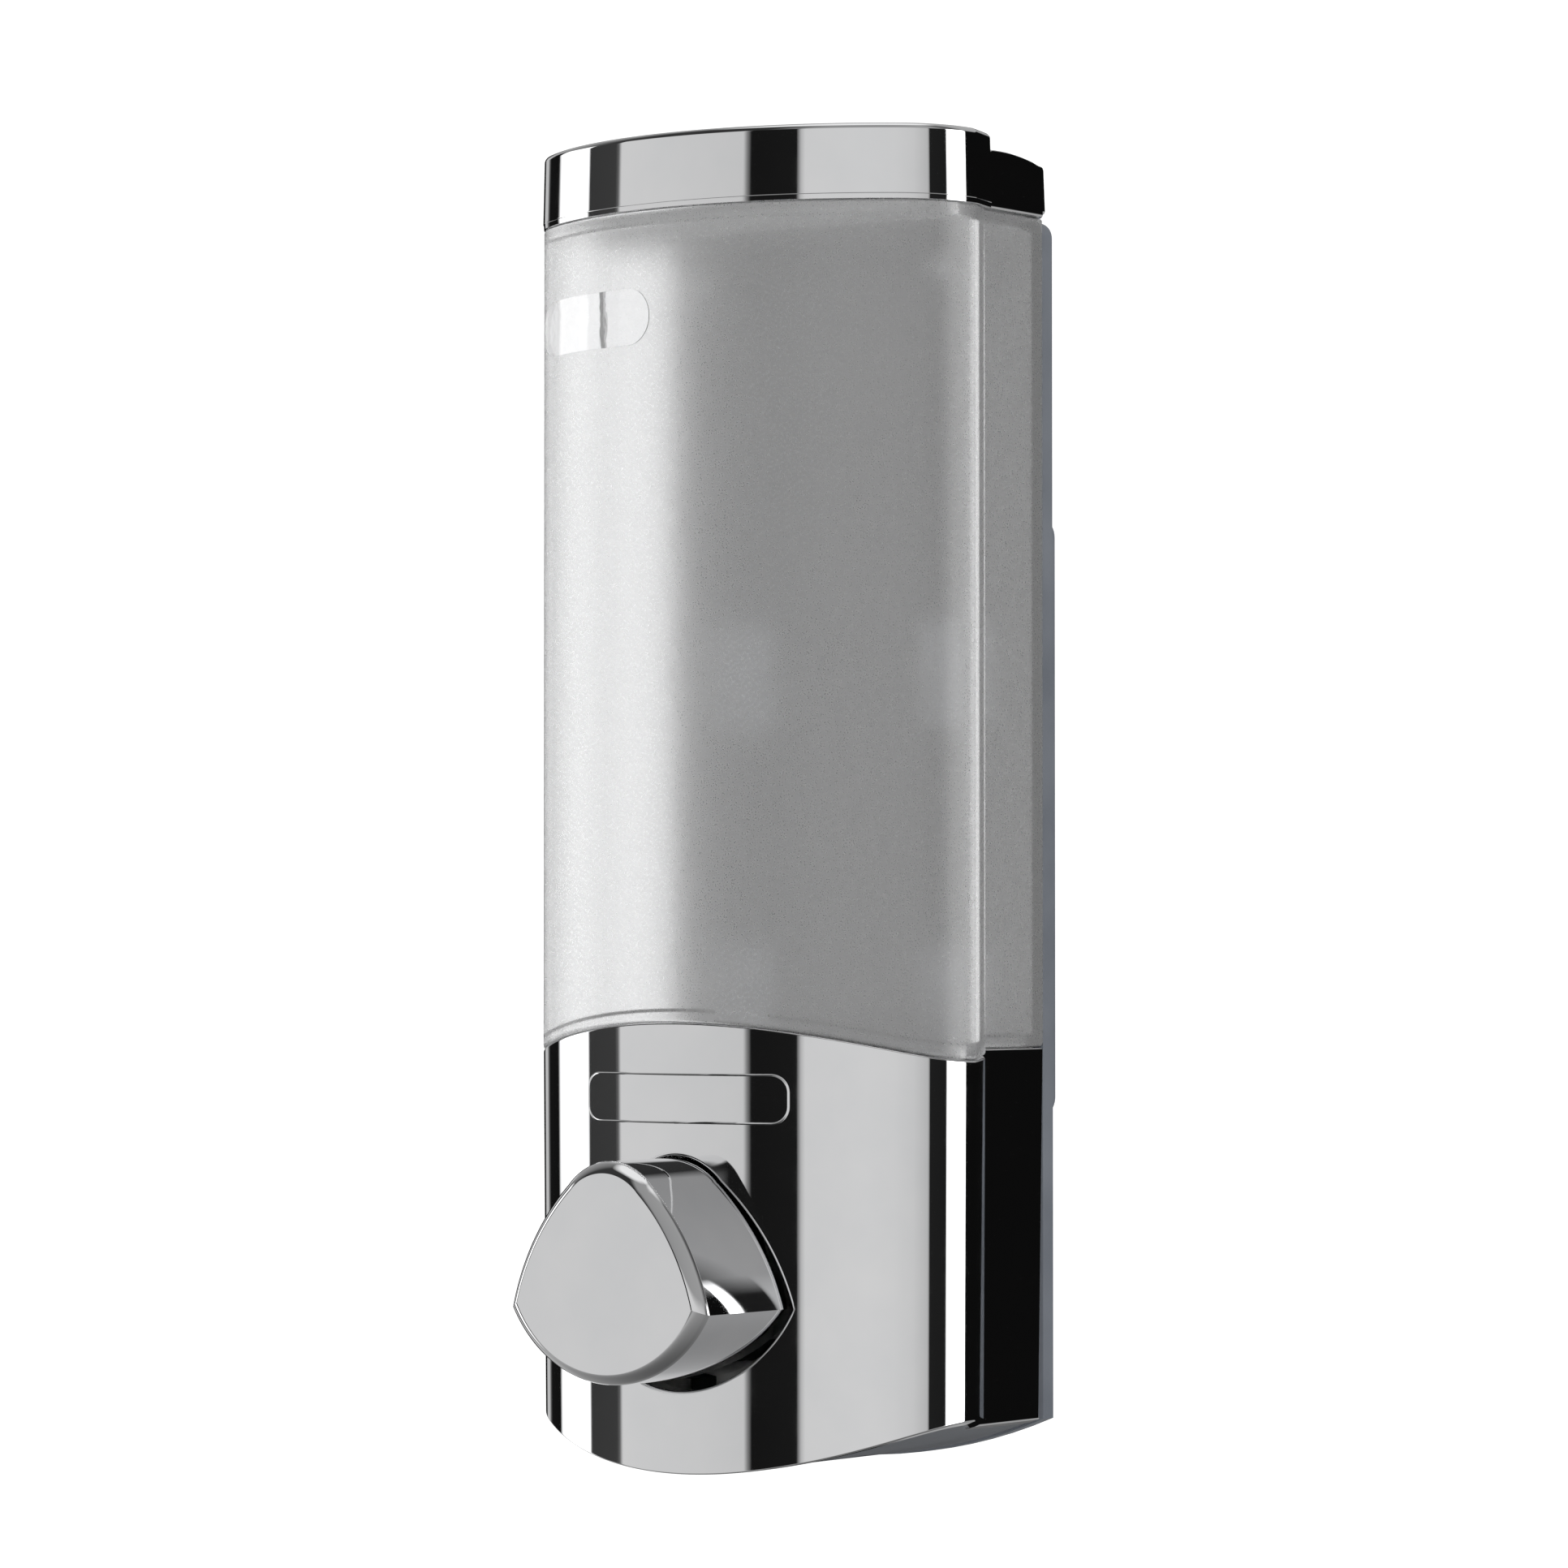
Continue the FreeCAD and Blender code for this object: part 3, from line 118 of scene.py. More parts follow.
def rounded_ring(centre, width, height, radius, count=10):
    """A rectangle with round corners."""
    x, y = width / 2 - radius, height / 2 - radius
    turns = ((x, y, 0), (-x, y, 90), (-x, -y, 180), (x, -y, 270))
    points = []
    for a, b, start in turns:
        corner = (centre[0] + a, centre[1] + b)
        end = math.radians(start + 90)
        points.append(arc(corner, radius, start, start + 90 + 1e-6, count))
        points.append([(corner[0] + radius * math.cos(end), corner[1] + radius * math.sin(end))])
    return np.concatenate(points)


def divided(outline, longest):
    """The closed outline, with its long straight runs divided."""
    points = []
    for start, end in zip(outline, np.roll(outline, -1, 0)):
        pieces = max(1, math.ceil(np.linalg.norm(end - start) / longest))
        if np.linalg.norm(end - start) > 1e-4:
            points += [start + (end - start) * i / pieces for i in range(pieces)]
    return np.array(points)


# ---- surfaces ----
# An axis says which way a ring is swept, and the two directions that its points are measured in.
UP = np.array([(1, 0, 0), (0, 1, 0), (0, 0, 1)], float)
FORWARD = np.array([(1, 0, 0), (0, 0, 1), (0, -1, 0)], float)
ACROSS = np.array([(0, 1, 0), (0, 0, 1), (1, 0, 0)], float)


def unit(vectors):
    size = np.linalg.norm(vectors, axis=-1, keepdims=True)
    return vectors / np.maximum(size, 1e-12)


def ends_of(normals, lengths, closed, limit):
    """For a run of segments, the normal at each one's start and end: shared across a soft bend, its own at a
    crease. A long flat segment keeps its normal, so the bend is taken up by the short ones beside it."""
    weight = lengths[..., None] ** 2
    before = np.roll(normals, 1, 0)
    mean = unit(normals * weight + before * np.roll(weight, 1, 0))
    soft = (normals * before).sum(-1, keepdims=True) > math.cos(math.radians(limit))
    start = np.where(soft, mean, normals)
    end = np.roll(np.where(soft, mean, before), -1, 0)
    if not closed:
        start[0], end[-1] = normals[0], normals[-1]
    return start, end


def skin(name, rings, heights, axis=UP, closed=True, loop=False, limit=32.0):
    """A mesh through rings of points. closed joins a ring's two ends, and loop the last ring to the first.
    It gets exact normals, kept on its corners as an attribute until shade() sets them."""
    rings = np.array(rings, float)
    count, points = rings.shape[:2]
    high = np.array([np.broadcast_to(h, points) for h in heights], float)
    way = np.roll(rings, -1, 1) - rings
    flat = unit(np.stack([way[..., 1], -way[..., 0]], -1))
    length = np.linalg.norm(way, axis=-1)
    pair = [ends_of(flat[i], length[i], closed, limit) for i in range(count)]
    normal = {0: np.array([p[0] for p in pair]), 1: np.array([p[1] for p in pair])}
    ahead = np.roll(rings, -1, 0) - rings
    rise = np.roll(high, -1, 0) - high
    tilt = {}
    for side in (0, 1):
        shift = np.roll(ahead, -side, 1) if side else ahead
        up = np.roll(rise, -side, 1) if side else rise
        out = (shift * normal[side]).sum(-1)
        profile = unit(np.stack([up, -out], -1))
        tilt[side] = ends_of(profile, np.hypot(up, out), loop, limit)
    verts = (rings[..., :1] * axis[0] + rings[..., 1:] * axis[1] + high[..., None] * axis[2]).reshape(-1, 3)

    def corner(side, ring, point, end):
        n = normal[side][(ring + end) % count, point]
        t = tilt[side][end][ring, point]
        return t[0] * (n[0] * axis[0] + n[1] * axis[1]) + t[1] * axis[2]

    faces, shades, bands = [], [], []
    for i in range(count if loop else count - 1):
        for k in range(points if closed else points - 1):
            j, m = (i + 1) % count, (k + 1) % points
            quad = (i * points + k, i * points + m, j * points + m, j * points + k)
            look = (corner(0, i, k, 0), corner(1, i, k, 0), corner(1, i, k, 1), corner(0, i, k, 1))
            kept = [q for q in range(4) if np.linalg.norm(verts[quad[q]] - verts[quad[q - 1]]) > 1e-5]
            if len(kept) > 2:
                faces.append([quad[q] for q in kept])
                shades += [look[q] for q in kept]
                bands.append(i)
    if closed and not loop:
        for ring, order in ((0, -1), (count - 1, 1)):
            faces.append([ring * points + k for k in range(points)][::order])
            shades += [axis[2] * order] * points
    if loop and not closed:
        for point, order in ((0, -1), (points - 1, 1)):
            faces.append([i * points + point for i in range(count)][::-order])
            shades += [np.zeros(3)] * count
    return build(name, verts, faces, shades, bands + [count] * (len(faces) - len(bands)))


def build(name, verts, faces, shades=None, bands=None):
    """An object in metres from points in millimetres, its faces and kept normals turned outwards.
    bands numbers the faces by the ring that each starts from."""
    mesh = bpy.data.meshes.new(name)
    mesh.from_pydata([tuple(v * MM) for v in verts], [], faces)
    values = np.zeros((len(mesh.loops), 3)) if shades is None else np.array(shades, float)
    mesh.attributes.new("shade", "FLOAT_VECTOR", "CORNER").data.foreach_set("vector", values.ravel())
    mesh.attributes.new("band", "INT", "FACE").data.foreach_set("value", bands or [0] * len(faces))
    turned = bmesh.new()
    turned.from_mesh(mesh)
    bmesh.ops.recalc_face_normals(turned, faces=turned.faces)
    turned.to_mesh(mesh)
    turned.free()
    kept = mesh.attributes["shade"].data
    agree = sum(kept[corner].vector.dot(face.normal)
                for face in mesh.polygons for corner in face.loop_indices)
    if agree < 0:
        for item in kept:
            item.vector = -item.vector
    obj = bpy.data.objects.new(name, mesh)
    bpy.context.scene.collection.objects.link(obj)
    return obj


def tube(name, bore, radius, long, base, axis):
    """A round tube that starts at base. bore is its hole's radius."""
    rings = [arc((0, 0), size, 0, 360, 40) for size in (bore, radius, radius, bore)]
    obj = skin(name, rings, [0, 0, long, long], axis, loop=True)
    obj.data.transform(Matrix.Translation(Vector(base) * MM))
    return obj


def settle(obj):
    """Applies the object's modifiers."""
    view = bpy.context.evaluated_depsgraph_get()
    view.update()
    mesh = bpy.data.meshes.new_from_object(obj.evaluated_get(view))
    obj.modifiers.clear()
    old, obj.data = obj.data, mesh
    mesh.name = obj.name
    bpy.data.meshes.remove(old)


def carve(obj, *cutters):
    """Cuts the cutters out of the object, and removes them."""
    for cutter in cutters:
        change = obj.modifiers.new("carve", "BOOLEAN")
        change.operation, change.solver, change.object = "DIFFERENCE", "EXACT", cutter
        settle(obj)
        bpy.data.objects.remove(cutter)


def gather(obj, *others):
    """Joins the others into obj."""
    with bpy.context.temp_override(active_object=obj, selected_editable_objects=[obj, *others]):
        bpy.ops.object.join()


def shade(obj, material, sharp=30.0):
    """Sets the kept normals, and gives the object its material."""
    mesh = obj.data
    mesh.polygons.foreach_set("use_smooth", [True] * len(mesh.polygons))
    mesh.set_sharp_from_angle(angle=math.radians(sharp))
    kept = mesh.attributes.get("shade")
    values = np.zeros(len(mesh.loops) * 3)
    kept.data.foreach_get("vector", values)
    values = values.reshape(-1, 3)
    mesh.attributes.remove(kept)
    size = np.linalg.norm(values, axis=1)
    values[size > 0.5] /= size[size > 0.5, None]
    values[size <= 0.5] = 0
    mesh.normals_split_custom_set([tuple(v) for v in values])
    mesh.materials.clear()
    mesh.materials.append(material)


def curve(inward, up, radius, first, last, steps=5):
    """A round edge about the point (inward, up), as (inward, up) pairs. Its angles run from straight up."""
    turn = np.radians(np.linspace(first, last, steps + 1))
    return [(inward + radius * math.sin(a), up + radius * math.cos(a)) for a in turn]


# ---- materials ----

def material(name, **settings):
    """A Principled material with these values set on its own sockets, and its nodes."""
    made = bpy.data.materials.new(name)
    made.use_nodes = True
    nodes, links = made.node_tree.nodes, made.node_tree.links
    shader = nodes["Principled BSDF"]
    for key, value in settings.items():
        shader.inputs[key.replace("_", " ")].default_value = value
    return made, nodes, links, shader


def noise(nodes, links, scale, detail=4.0, kind="ShaderNodeTexNoise", stretch=None):
    """A texture in the object's own coordinates, in metres."""
    where = nodes.new("ShaderNodeTexCoord").outputs["Object"]
    if stretch:
        mapping = nodes.new("ShaderNodeMapping")
        mapping.inputs["Scale"].default_value = stretch
        links.new(where, mapping.inputs["Vector"])
        where = mapping.outputs["Vector"]
    texture = nodes.new(kind)
    texture.inputs["Scale"].default_value = scale
    if "Detail" in texture.inputs:
        texture.inputs["Detail"].default_value = detail
    links.new(where, texture.inputs["Vector"])
    return texture.outputs["Distance" if kind == "ShaderNodeTexVoronoi" else "Fac"]


def spread(nodes, links, source, low, high, start=0.3, end=0.7):
    """source, taken from start..end to low..high."""
    node = nodes.new("ShaderNodeMapRange")
    for name, value in (("From Min", start), ("From Max", end), ("To Min", low), ("To Max", high)):
        node.inputs[name].default_value = value
    links.new(source, node.inputs["Value"])
    return node.outputs["Result"]


def tint(nodes, links, source, shader, dark, light):
    """Colours the shader between dark and light by source."""
    ramp = nodes.new("ShaderNodeValToRGB")
    for stop, colour, place in zip(ramp.color_ramp.elements, (dark, light), (0.3, 0.7)):
        stop.color = (*colour, 1)
        stop.position = place
    links.new(source, ramp.inputs["Fac"])
    links.new(ramp.outputs["Color"], shader.inputs["Base Color"])


def maths(nodes, links, kind, *values):
    """A math node's result, from numbers and other nodes' outputs."""
    node = nodes.new("ShaderNodeMath")
    node.operation = kind
    for socket, value in zip(node.inputs, values):
        if isinstance(value, (int, float)):
            socket.default_value = value
        else:
            links.new(value, socket)
    return node.outputs[0]


def blended(nodes, links, share, source, level):
    """source, but the number level where share is 1."""
    node = nodes.new("ShaderNodeMix")
    links.new(share, node.inputs[0])
    links.new(source, node.inputs[2])
    node.inputs[3].default_value = level
    return node.outputs[0]


def bump(nodes, links, shader, source, strength, distance, under=None):
    """Raises the shader's surface by source, on top of the bump under."""
    node = nodes.new("ShaderNodeBump")
    node.inputs["Strength"].default_value = strength
    node.inputs["Distance"].default_value = distance
    links.new(source, node.inputs["Height"])
    if under:
        links.new(under.outputs["Normal"], node.inputs["Normal"])
    links.new(node.outputs["Normal"], shader.inputs["Normal"])
    return node


def chrome():
    """Bright plating on moulded plastic: a mirror with faint unevenness and the finest smears."""
    made, nodes, links, shader = material("chrome", Metallic=1.0, IOR=2.5)
    smear = noise(nodes, links, 90.0, 6.0)
    tint(nodes, links, smear, shader, (0.86, 0.865, 0.875), (0.90, 0.90, 0.905))
    links.new(spread(nodes, links, smear, 0.018, 0.05), shader.inputs["Roughness"])
    wave = bump(nodes, links, shader, noise(nodes, links, 45.0, 1.0), 0.10, 0.00008)
    bump(nodes, links, shader, noise(nodes, links, 1400.0, 2.0), 0.05, 0.000003, wave)
    return made


def in_window(nodes, links):
    """1 on the reservoir's polished window and 0 elsewhere."""
    def step(*terms):
        return maths(nodes, links, *terms)

    place = nodes.new("ShaderNodeSeparateXYZ")
    links.new(nodes.new("ShaderNodeTexCoord").outputs["Object"], place.inputs[0])
    radius = WINDOW_HIGH / 2 * MM
    across = step("ABSOLUTE", step("SUBTRACT", place.outputs["X"], WINDOW_CENTRE[0] * MM))
    past = step("MAXIMUM", step("SUBTRACT", across, WINDOW_WIDE / 2 * MM - radius), 0.0)
    rise = step("SUBTRACT", place.outputs["Z"], WINDOW_CENTRE[1] * MM)
    far = step("SQRT", step("ADD", step("MULTIPLY", past, past), step("MULTIPLY", rise, rise)))
    inside = step("LESS_THAN", far, radius)
    return step("MULTIPLY", inside, step("LESS_THAN", place.outputs["Y"], WIDEST * MM))


def frosted():
    """Clear plastic with a fine sparked texture on its outside, left polished on the window."""
    made, nodes, links, shader = material("frosted", IOR=1.46)
    grain = noise(nodes, links, 3200.0, 2.0)
    tint(nodes, links, noise(nodes, links, 700.0, 5.0), shader, (0.955, 0.957, 0.965), (0.995, 0.995, 0.998))
    window = in_window(nodes, links)
    links.new(spread(nodes, links, window, 0.83, 1.0, 0.0, 1.0), shader.inputs["Transmission Weight"])
    rough = blended(nodes, links, window, spread(nodes, links, grain, 0.25, 0.37), 0.03)
    links.new(rough, shader.inputs["Roughness"])
    bump(nodes, links, shader, blended(nodes, links, window, grain, 0.5), 0.22, 0.00005)
    return made


def clear():
    """The polished window in the frosted wall."""
    made, nodes, links, shader = material("clear", Transmission_Weight=1.0, IOR=1.49)
    soft = noise(nodes, links, 160.0, 2.0)
    tint(nodes, links, soft, shader, (0.985, 0.987, 0.99), (0.998, 0.998, 0.998))
    links.new(spread(nodes, links, soft, 0.01, 0.03), shader.inputs["Roughness"])
    bump(nodes, links, shader, soft, 0.25, 0.0002)
    return made


def moulded(name, dark, light, rough=0.42, grain=0.00004):
    """Moulded plastic with a fine spark-eroded texture, a little polished where it is rubbed."""
    made, nodes, links, shader = material(name, IOR=1.5)
    cloud = noise(nodes, links, 55.0, 6.0)
    tint(nodes, links, cloud, shader, dark, light)
    links.new(spread(nodes, links, cloud, rough - 0.07, rough + 0.07), shader.inputs["Roughness"])
    under = bump(nodes, links, shader, cloud, 0.1, 0.0001)
    bump(nodes, links, shader, noise(nodes, links, 2200.0, 2.0), 0.35, grain, under)
    return made


def steel():
    """Drawn and turned steel: fine lines, and a few darker specks."""
    made, nodes, links, shader = material("steel", Metallic=1.0)
    lines = noise(nodes, links, 900.0, 3.0, stretch=(1, 0.15, 0.15))
    tint(nodes, links, lines, shader, (0.52, 0.53, 0.54), (0.66, 0.67, 0.68))
    links.new(spread(nodes, links, lines, 0.2, 0.34), shader.inputs["Roughness"])
    bump(nodes, links, shader, lines, 0.3, 0.00002)
    return made


def silicone():
    """Soft, slightly cloudy rubber."""
    made, nodes, links, shader = material("silicone", Transmission_Weight=0.25, IOR=1.41, Sheen_Weight=0.15)
    cloud = noise(nodes, links, 260.0, 4.0)
    tint(nodes, links, cloud, shader, (0.70, 0.71, 0.71), (0.82, 0.82, 0.81))
    links.new(spread(nodes, links, cloud, 0.45, 0.6), shader.inputs["Roughness"])
    bump(nodes, links, shader, cloud, 0.2, 0.0001)
    return made


def foam():
    """Closed-cell foam tape."""
    made, nodes, links, shader = material("foam", Sheen_Weight=0.2, Roughness=0.9)
    cells = noise(nodes, links, 1300.0, kind="ShaderNodeTexVoronoi")
    tint(nodes, links, cells, shader, (0.62, 0.62, 0.60), (0.86, 0.86, 0.84))
    bump(nodes, links, shader, cells, 0.8, 0.0002)
    return made


CHROME, FROSTED, CLEAR = chrome(), frosted(), clear()
LOOKS = {
    "chrome_plate": CHROME,
    "frosted_plastic": FROSTED,
    "grey_plastic": moulded("grey_plastic", (0.120, 0.132, 0.153), (0.148, 0.161, 0.184), 0.40),
    "dark_grey_plastic": moulded("dark_grey_plastic", (0.068, 0.076, 0.090), (0.092, 0.100, 0.117), 0.36),
    "white_plastic": moulded("white_plastic", (0.72, 0.72, 0.71), (0.80, 0.80, 0.79), 0.35),
    "steel": steel(),
    "silicone": silicone(),
    "foam": foam(),
}
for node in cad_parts.values():
    for place, old in enumerate(node.data.materials):
        node.data.materials[place] = LOOKS[old.name.split(".")[0]]


def stand_for(obj, node, body):
    """obj rides on the body and stands for a CAD node."""
    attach(obj, body)
    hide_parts(node)


# ---- shapes shared by the reservoir and the front cover ----

def arch(path, lift=0.0):
    """Height of the cover's top edge over each point of a path, whose first and last two are at its rear."""
    x = np.minimum(np.abs(path[:, 0]), SIDE)
    front = ARCH_TOP - (ARCH_RADIUS - np.sqrt(ARCH_RADIUS ** 2 - x ** 2))
    order = np.arange(len(path))
    rear = (order < 2) | (order > len(path) - 3)
    return np.where(rear, FLANK_TOP, front) + lift


def smile(path, lift=0.0):
    """Height of the lower edge over each point of a path."""
    return BOTTOM + lift + SMILE_RADIUS - np.sqrt(SMILE_RADIUS ** 2 - path[:, 0] ** 2)


def front_y(x):
    """The curved front's y at x."""
    x = np.abs(x)
    middle = FRONT_CENTRE - np.sqrt(FRONT_RADIUS ** 2 - np.minimum(x, TANGENT) ** 2)
    outer = WIDEST - np.sqrt(np.maximum(CORNER_RADIUS ** 2 - (x - CORNER_ACROSS).clip(0) ** 2, 0))
    return np.where(x <= TANGENT, middle, outer)


def front_normal(x):
    """The curved front's outward normal at x."""
    x = np.asarray(x, float)
    middle = x / FRONT_RADIUS
    outer = np.sign(x) * (np.abs(x) - CORNER_ACROSS) / CORNER_RADIUS
    across = np.where(np.abs(x) <= TANGENT, middle, outer).clip(-1, 1)
    return np.stack([across, -np.sqrt(1 - across ** 2), np.zeros_like(across)], -1)


def on_front(outline, out=0.0):
    """Points of an (x, z) outline laid on the curved front, out from it along its normal."""
    outline = np.asarray(outline, float)
    base = np.stack([outline[:, 0], front_y(outline[:, 0]), outline[:, 1]], -1)
    return base + front_normal(outline[:, 0]) * out


def ring_of(rows):
    """Points and faces of a closed tube, from rows of points: one row for each place round its section."""
    grid = np.array(rows)
    count, long = grid.shape[:2]
    faces = []
    for i in range(count):
        j = (i + 1) % count
        for k in range(long):
            m = (k + 1) % long
            faces.append((i * long + k, i * long + m, j * long + m, j * long + k))
    return grid.reshape(-1, 3), faces


def outward(outline):
    """The outward direction at each point of a closed, anticlockwise outline."""
    way = np.roll(outline, -1, 0) - np.roll(outline, 1, 0)
    return unit(np.stack([way[:, 1], -way[:, 0]], -1))


# ---- reservoir ----

def make_reservoir():
    """From the floor up inside, over the filling mouth, and down outside to the skirt."""
    wall, skirt, well, mouth, lift = 2.0, 2.05, 4.05, 6.0, 0.15
    floor, back, soft = -52.0, PLATE_FRONT - 2.0, 0.6
    profile = []

    def add(inset, height, rear=PLATE_FRONT, stepped=True):
        profile.append((plan_path(inset, rear, stepped), height))

    def above_arch(inset, rise, rear=PLATE_FRONT):
        path = plan_path(inset, rear)
        profile.append((path, arch(path, rise)))

    add(well, floor + wall, back)
    above_arch(well, wall, back)
    above_arch(wall + soft, wall, back)
    above_arch(wall, wall + soft, back)
    add(wall, DECK - wall - soft, back)
    add(wall + soft, DECK - wall, back)
    add(mouth, DECK - wall, LID_REAR - mouth, False)
    polished = len(profile)
    add(mouth, DECK, LID_REAR - mouth, False)
    for inset, height in curve(0.5, DECK - 0.5, 0.5, 0, -90):
        add(inset, height)
    for inset, rise in curve(0.9, 0.9, 0.9, -90, -180, 6):
        above_arch(inset, rise + lift)
    above_arch(skirt, lift, PLATE_FRONT - 0.25)
    add(skirt, floor, PLATE_FRONT - 0.25)
    shell = skin("reservoir_shell", [p for p, _ in profile], [h for _, h in profile])
    tubes = [tube("reservoir_neck", 2.6, 4.0, 15.7, (0, -37.0, -67.9), UP)]
    for side in (-1, 1):
        tubes.append(tube("reservoir_boss", 1.55, 4.0, 8.0, (side * 28.0, -7.5, 99.7), FORWARD))
    gather(shell, *tubes)
    shade(shell, FROSTED)
    shell.data.materials.append(CLEAR)
    for face, band in zip(shell.data.polygons, shell.data.attributes["band"].data):
        face.material_index = int(band.value < polished)
    stand_for(shell, "reservoir", "dispenser")


make_reservoir()


def make_window():
    """A thin clear plate over the polished window, so that its edge shows."""
    half, radius = WINDOW_WIDE / 2, WINDOW_HIGH / 2
    face, back, straight = 0.16, 0.02, 23
    bend = np.radians(np.linspace(8, 90, 9))
    end = half - radius + radius * np.cos(bend)
    middle = np.linspace(-(half - radius), half - radius, straight + 2)[1:-1]
    columns = np.concatenate([-end, middle, end[::-1]])
    reach = np.concatenate([np.sin(bend), np.ones(straight), np.sin(bend)[::-1]]) * radius
    rows = np.linspace(-1, 1, 9)
    section = [(row, face) for row in rows] + [(row, back) for row in rows[::-1]]
    grid = [on_front(np.stack([WINDOW_CENTRE[0] + columns, WINDOW_CENTRE[1] + reach * row], 1), out)
            for row, out in section]
    normal = front_normal(WINDOW_CENTRE[0] + columns)
    count, long = len(section), len(columns)
    faces, shades = [], []
    for i in range(count):
        j = (i + 1) % count
        sign = 1.0 if i < len(rows) - 1 else -1.0 if len(rows) <= i < count - 1 else 0.0
        for k in range(long - 1):
            faces.append((i * long + k, j * long + k, j * long + k + 1, i * long + k + 1))
            shades += [normal[k] * sign, normal[k] * sign, normal[k + 1] * sign, normal[k + 1] * sign]
    for k in (0, long - 1):
        faces.append([i * long + k for i in range(count)])
        shades += [np.zeros(3)] * count
    window = build("reservoir_window", np.concatenate(grid), faces, shades)
    shade(window, CLEAR)
    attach(window, "dispenser")


make_window()


# ---- lid, hinge cap ----

def make_lid():
    """The shell with its lower crease, the rib that holds the seal, and the two hinge knuckles."""
    outset, draft, edge = 0.2, 0.25, 1.1
    crease = ((0.30, 0.0), (0.14, 0.10), (0.09, 0.95), (0.02, 1.03), (0.0, 1.15))
    rib_inside, rib_outside = 4.4, 3.2
    knuckle_start, knuckle_end = 12.3, 29.7

    def ring(inset):
        return plan_path(inset - outset, LID_REAR - inset, False)

    steps = [(WALL, LID_TOP - WALL), (WALL, LID_BASE)]
    steps += [(inset, LID_BASE + up) for inset, up in crease]
    steps += curve(draft + edge, LID_TOP - edge, edge, -90, 0, 10)
    lid = skin("lid_shell", [ring(i) for i, _ in steps], [h for _, h in steps])
    low, high = LID_BASE + 1.5, LID_TOP - WALL + 0.2
    rib = skin("lid_rib", [ring(i) for i in (rib_inside, rib_inside, rib_outside, rib_outside)],
               [high, low, low, high])
    rounds = [arc((HINGE_BACK, HINGE_UP), radius, 0, 360, 40) for radius in (0.9, 1.3, 1.5, 1.5, 1.3, 0.9)]
    arm = rounded_ring(((LID_REAR - 0.5 + HINGE_BACK) / 2, HINGE_UP), 2.4, 1.8, 0.2, 4)
    knuckles = []
    for side in (-1, 1):
        start, end = sorted((side * knuckle_start, side * knuckle_end))
        knuckles.append(skin("knuckle", rounds, [start, start, start + 0.2, end - 0.2, end, end], ACROSS))
        knuckles.append(skin("web", [arm] * 2, [start, end], ACROSS))
    gather(lid, rib, *knuckles)
    shade(lid, CHROME)
    stand_for(lid, "lid", "lid")


make_lid()


def make_hinge_cap():
    """A block with a crowned top and rounded ends, slotted for the lid's knuckles."""
    half, lip, nose, rear_round, end_round = 43.45, 0.7, 1.6, 0.9, 1.2
    top_rear, top_front, crowning, rise = 118.2, 119.7, 0.55, 0.12
    slot_starts, slot_long = (-30.0, 12.0), 18.0
    rear_edge, crown_rear = CAP_REAR - 0.5 - rear_round, CAP_REAR - 1.9
    crown = [(rear_edge - 1.0, top_rear + rise)]
    for s in np.linspace(0.15, 0.9, 8):
        y = crown_rear + (HINGE_BACK - crown_rear) * s
        line = top_rear + rise + (top_front - top_rear - rise) * s
        crown.append((y, line + crowning * 4 * s * (1 - s)))
    rear = [(rear_edge + rear_round * math.cos(a), top_rear - rear_round + rear_round * math.sin(a))
            for a in np.radians(np.linspace(0, 80, 6))]
    front = [(HINGE_BACK + nose * math.cos(a), HINGE_UP + nose * math.sin(a))
             for a in np.radians(np.linspace(95, 180, 8))]
    low = [(CAP_FRONT, LID_BASE), (CAP_REAR - 0.75, LID_BASE), (CAP_REAR - 0.75, LID_BASE + lip),
           (CAP_REAR, LID_BASE + lip + 0.05)]
    ring = np.array(low + rear + crown + front)
    middle = ring.mean(0)
    size = ring.max(0) - ring.min(0)
    ends = curve(end_round, end_round, -end_round, 0, 90)
    rings = [middle + (ring - middle) * (1 - inset / size) for inset, _ in ends]
    places = [-half + up for _, up in ends]
    cap = skin("cap_block", rings + rings[::-1], places + [-place for place in places[::-1]], ACROSS)
    slot = rounded_ring((CAP_FRONT + 2.0, HINGE_UP + 2.0), 6.6, 7.9, 0.3, 4)
    for start in slot_starts:
        carve(cap, skin("slot", [slot] * 2, [start, start + slot_long], ACROSS))
    shade(cap, CHROME)
    stand_for(cap, "hinge_cap", "dispenser")


make_hinge_cap()

# ---- front cover ----
MARGIN, LIP, SAG, FLARE = 0.35, 0.6, 1.8, 0.9
NARROWING = 0.6
LABEL_DROP, LABEL_WIDE, LABEL_HIGH, LABEL_CORNER = 13.4, 44.7, 8.6, 3.0


def narrow(obj):
    """Draws the cover in towards its lower edge, as its mould does."""
    hub = -20.0
    for vertex in obj.data.vertices:
        x, y, z = vertex.co / MM
        fall = NARROWING * (ARCH_TOP - z) / (ARCH_TOP - BOTTOM)
        inward = Vector((x, y - hub, 0)).normalized() if y < hub else Vector((math.copysign(1, x), 0, 0))
        vertex.co -= inward * max(fall, 0) * MM


